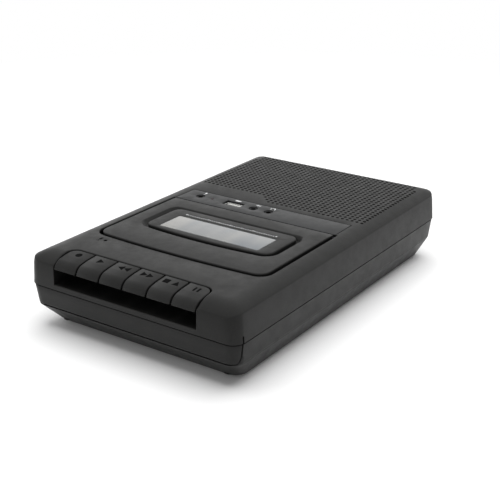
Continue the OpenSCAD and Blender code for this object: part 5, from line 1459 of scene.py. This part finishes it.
def volume_wheel():
    """Thumb wheel with rounded ribs round its rim."""
    ribs, per_rib, rib_deep = 36, 6, 0.38
    edge = ((0.0, 0.6), (0.15, 0.2), (0.5, 0.0))
    levels = [*edge, *((WHEEL_T - z, inset) for z, inset in reversed(edge))]
    bm = bmesh.new()
    rings = []
    for z, inset in levels:
        ring = []
        for k in range(ribs * per_rib):
            a = 2 * math.pi * k / (ribs * per_rib)
            crest = (1 - math.cos(2 * math.pi * (k % per_rib) / per_rib)) / 2
            r = WHEEL_R - inset - rib_deep * (1 - crest) ** 2
            ring.append(bm.verts.new((WHEEL_X + r * math.cos(a), WHEEL_Y + r * math.sin(a), WHEEL_Z + z)))
        rings.append(ring)
    closed_rings(bm, rings[::-1])
    place(finished("volume_wheel_rim", bm, inner_black, sharp=50), "volume", "black_plastic", "volume_wheel")


def power_barrel():
    """Sleeve and centre pin of the power socket."""
    y, z = POWER_SOCKET
    at = along_x(wall_x(z) - 0.05, y, z)
    sleeve = [(0, 9.0), (2.95, 9.0), (2.95, 0.35), (2.85, 0.12),
              (2.65, 0.1), (2.45, 0.3), (2.4, 7.5), (0, 7.5)]
    pin = [(0, 7.6), (0.7, 7.6), (0.7, 1.3), (0.5, 1.0), (0, 0.95)]
    bm = bmesh.new()
    turned_solid(bm, sleeve, 32, at)
    turned_solid(bm, pin, 16, at)
    place(finished("power_barrel", bm, inner_black), "case", "black_plastic")


# Underside and screws
def rubber_pads():
    """Four round feet."""
    tree, keys = pad_tree(black_rubber)
    feet = [(x, y, 0.0) for x in (-48, 48) for y in (-103.0, 114.7)]
    pads = planted("rubber_pads", feet, [UP] * len(feet), tree, keys, {"Radius": 0.004, "Height": 0.0015})
    place(pads, "case", "rubber", "rubber_feet")


def screw_sets():
    """All visible screws, one set for each place they hold."""
    tree, keys = screw_tree(plated_steel)
    far, turns = 35.5, [math.radians(a) for a in (45, 135, 225, 315)]
    round_speaker = [(SPEAKER[0] + far * math.cos(a), SPEAKER[1] + far * math.sin(a)) for a in turns]
    on_deck = [(x, y) for x in (-60, 60) for y in (-86.0, -8.5)]
    on_board = [(18.7, 22.55), (-53.8, 24.25)]
    # Piece, node, places, seat height, way the head points, then the sizes that labels names
    sets = [("case_screw_set", "case_screws", CASE_SCREWS, 8.0, -1, (2.8, 2.2, 1.5, 26.5)),
            ("deck_screw_set", "deck_screws", on_deck, 28.2, 1, (2.2, 1.4, 1.1, 6.0)),
            ("board_screw_set", "board_screws", on_board, 33.9, -1, (2.2, 1.1, 1.1, 5.4)),
            ("speaker_screw_set", "speaker_screws", round_speaker, 43.9, -1, (2.1, 1.4, 1.1, 2.6))]
    labels = ("Head Radius", "Head Height", "Shank Radius", "Shank Length")
    for name, node, spots, seat, way, measures in sets:
        points = [(x, y, seat) for x, y in spots]
        sizes = {label: measure * MM for label, measure in zip(labels, measures)}
        made = planted(name, points, [(0, 0, way)] * len(points), tree, keys, sizes)
        place(made, "case", "plated_steel", node)


def battery_cover():
    """Plate with softened edges, hinge knuckles, a finger dish and grip ribs."""
    x0, x1, y0, y1 = BAY[0] - 0.9, BAY[1] + 0.9, BAY[2], BAY[3] + 0.9
    mid_x, top_z, hinge_y, hinge_z, hinge_half = (x0 + x1) / 2, 3.4, 48.4, 2.6, 4
    plan = divided(rounded_outline([(x0, y0, 0.8), (x1, y0, 0.8), (x1, y1, 1.6), (x0, y1, 1.6)], 4), 8)
    bm = bmesh.new()
    low = skin(bm, grown(plan, -0.4), (), BASE_Z, down=True)[0]
    top = skin(bm, plan, (), top_z)[0]
    mid = ring_of(bm, grown(plan, -0.12), BASE_Z + 0.12)
    out = ring_of(bm, plan, BASE_Z + 0.4)
    for upper, lower in ((mid, low), (out, mid), (top, out)):
        stitch(bm, upper, lower)
    cover = finished("battery_cover_plate", bm, charcoal)
    dish_r, dish_deep, dish_wide, dish_in = 8, 1, 1.6, 6
    at = Matrix.Translation((mid_x, BAY[3] - dish_in, BASE_Z + dish_deep - dish_r))
    dish = bmesh.new()
    bmesh.ops.create_uvsphere(dish, u_segments=48, v_segments=32, radius=dish_r,
                              matrix=at @ Matrix.Diagonal((dish_wide, 1, 1, 1)))
    carved(cover, dish)
    knuckles = bmesh.new()
    for x in COVER_HINGES:
        roll = [(0, 0), (0.75, 0), (0.9, 0.15), (0.9, 7.85), (0.75, 8), (0, 8)]
        turned_solid(knuckles, roll, 20, along_x(x - hinge_half, hinge_y, hinge_z))
        soft_box(knuckles, (x - 3.9, hinge_y, hinge_z - 0.5), (x + 3.9, 51.5, hinge_z + 0.5), 0.15)
    carved(cover, knuckles, "UNION")
    settled(cover, 20)
    place(cover, "battery_cover", "case_plastic", "battery_door")
    tree, keys = rib_tree(charcoal)
    rib_count, rib_in, rib_step = 6, 18, 2.4
    rows = [(mid_x, BAY[3] - rib_in - rib_step * k, BASE_Z + 0.12) for k in range(rib_count)]
    sizes = {"Length": 0.026, "Radius": 0.0005}
    ribs = planted("battery_cover_ribs", rows, [UP] * len(rows), tree, keys, sizes)
    place(ribs, "battery_cover", "case_plastic")


# Finishes of the solids that stay
def dress_solids():
    """Gives each solid that keeps its own shape the finish of the real piece."""
    finishes = {
        inner_black: "cassette_well door_latch mic_jack line_jack phones_jack power_socket idler_wheel "
                     "supply_spindle take_up_spindle erase_head",
        blued_steel: "door_hinge_pins",
        plated_steel: "cassette_guides door_springs key_shaft key_bracket deck_plate head_bridge pinch_arm "
                      "capstan reel_pins idler_pin drive_motor motor_bracket mic_capsule battery_springs "
                      "battery_plates",
        bright_steel: "play_head",
        brass: "capstan_bush motor_pulley",
        black_rubber: "pinch_roller",
        belt_rubber: "drive_belt",
        fly_metal: "flywheel",
        frame_paint: "speaker_frame volume_control",
        ferrite: "speaker_magnet",
        cone_paper: "speaker_cone",
        board_green: "circuit_board",
        lamp_red: "power_light",
    }
    for finish, names in finishes.items():
        for name in names.split():
            mesh = cad[name].data
            mesh.materials.clear()
            mesh.materials.append(finish)


# Stage, in metres
def seen_rays(tree):
    """1 for rays that show the backdrop: straight to the eye, in a shine or through a clear pane."""
    path = tree.nodes.new("ShaderNodeLightPath").outputs
    direct_or_shine = maths(tree, "MAXIMUM", path["Is Camera Ray"], path["Is Glossy Ray"])
    return maths(tree, "MAXIMUM", direct_or_shine, path["Is Transmission Ray"])


def studio_world(scene):
    """White where it is seen; as a light it is bright behind and above the part and dim in front."""
    world = bpy.data.worlds.new("studio")
    scene.world = world
    world.use_nodes = True
    tree = world.node_tree
    tree.nodes.clear()
    toward = tree.nodes.new("ShaderNodeTexCoord").outputs["Generated"]
    behind = add(tree, "ShaderNodeVectorMath", {"operation": "DOT_PRODUCT"})
    tree.links.new(toward, behind.inputs[0])
    behind.inputs[1].default_value = BEHIND
    height = add(tree, "ShaderNodeSeparateXYZ", Vector=toward).outputs[2]
    sweep = spread(tree, behind.outputs["Value"], DIM_SIDE, SWEEP_LIGHT, -0.2, 0.8)
    above = spread(tree, height, 0.0, 0.4 * SWEEP_LIGHT, 0.45, 0.95)
    glow = maths(tree, "MAXIMUM", sweep, above)
    fill = add(tree, "ShaderNodeBackground", Color=WHITE, Strength=glow)
    white = add(tree, "ShaderNodeBackground", Color=WHITE, Strength=1.0)
    mix = add(tree, "ShaderNodeMixShader", Fac=seen_rays(tree))
    tree.links.new(fill.outputs[0], mix.inputs[1])
    tree.links.new(white.outputs[0], mix.inputs[2])
    out = tree.nodes.new("ShaderNodeOutputWorld")
    tree.links.new(mix.outputs[0], out.inputs[0])


def pale_floor():
    """Pale floor that takes the part's shadow and fades to white away from it."""
    half_size, near, far = 6 / MM, 0.2, 0.8
    finish = bpy.data.materials.new("pale_floor")
    finish.use_nodes = True
    tree = finish.node_tree
    shader = tree.nodes["Principled BSDF"]
    shader.inputs["Base Color"].default_value = (0.93, 0.93, 0.93, 1)
    shader.inputs["Roughness"].default_value = 0.6
    shader.inputs["Specular IOR Level"].default_value = 0.2
    glow = add(tree, "ShaderNodeEmission", Color=WHITE, Strength=1.0)
    away = add(tree, "ShaderNodeVectorMath", {"operation": "LENGTH"})
    tree.links.new(tree.nodes.new("ShaderNodeTexCoord").outputs["Object"], away.inputs[0])
    fade = spread(tree, away.outputs["Value"], 0.05, 1.0, near, far)
    mix = add(tree, "ShaderNodeMixShader", Fac=maths(tree, "MULTIPLY", seen_rays(tree), fade))
    tree.links.new(shader.outputs[0], mix.inputs[1])
    tree.links.new(glow.outputs[0], mix.inputs[2])
    tree.links.new(mix.outputs[0], tree.nodes["Material Output"].inputs[0])
    bm = bmesh.new()
    bmesh.ops.create_grid(bm, x_segments=2, y_segments=2, size=half_size)
    floor = finished("floor", bm, finish, closed=False)


def lamp(name, where, target, width, power):
    """Round area lamp that leaves no spot in a shine."""
    light = bpy.data.lights.new(name, "AREA")
    light.shape, light.size, light.energy = "DISK", width, power
    obj = shown(name, light)
    obj.location = where
    obj.rotation_euler = (Vector(target) - Vector(where)).to_track_quat("-Z", "Y").to_euler()
    obj.visible_glossy = False


def photo_camera(scene):
    """Camera at the photograph's view."""
    yaw, pitch = math.radians(CAMERA_YAW), math.radians(CAMERA_PITCH)
    look = Vector((-math.sin(yaw) * math.cos(pitch), math.cos(yaw) * math.cos(pitch), -math.sin(pitch)))
    lens = bpy.data.cameras.new("photo_view")
    lens.sensor_width, lens.sensor_fit = SENSOR, "HORIZONTAL"
    lens.lens = FOCAL_PIXELS / FRAME_PIXELS * SENSOR
    lens.clip_start, lens.clip_end = 0.01, 50
    camera = shown("photo_view", lens)
    camera.location = CAMERA_PLACE
    camera.rotation_euler = look.to_track_quat("-Z", "Y").to_euler()
    scene.camera = camera


def stage():
    """World, floor, lamps and camera."""
    scene = bpy.context.scene
    scene.view_settings.view_transform = "Standard"
    studio_world(scene)
    pale_floor()
    lamp("overhead", where=(0.05, 0.2, 1.7), target=(0, 0, 0), width=2.2, power=40)
    lamp("front_fill", where=(-1.2, -0.7, 1.0), target=(0, 0, 0.02), width=1.2, power=3)
    photo_camera(scene)


stage()
dress_solids()
top_shell()
grille()
bottom_shell()
carry_handle()
keys_row()
key_return_springs()
door_lid()
lens_pieces()
strip_plate()
socket_collars()
strip_signs()
memory_socket()
port_sign()
wall_plates()
volume_wheel()
power_barrel()
rubber_pads()
screw_sets()
battery_cover()
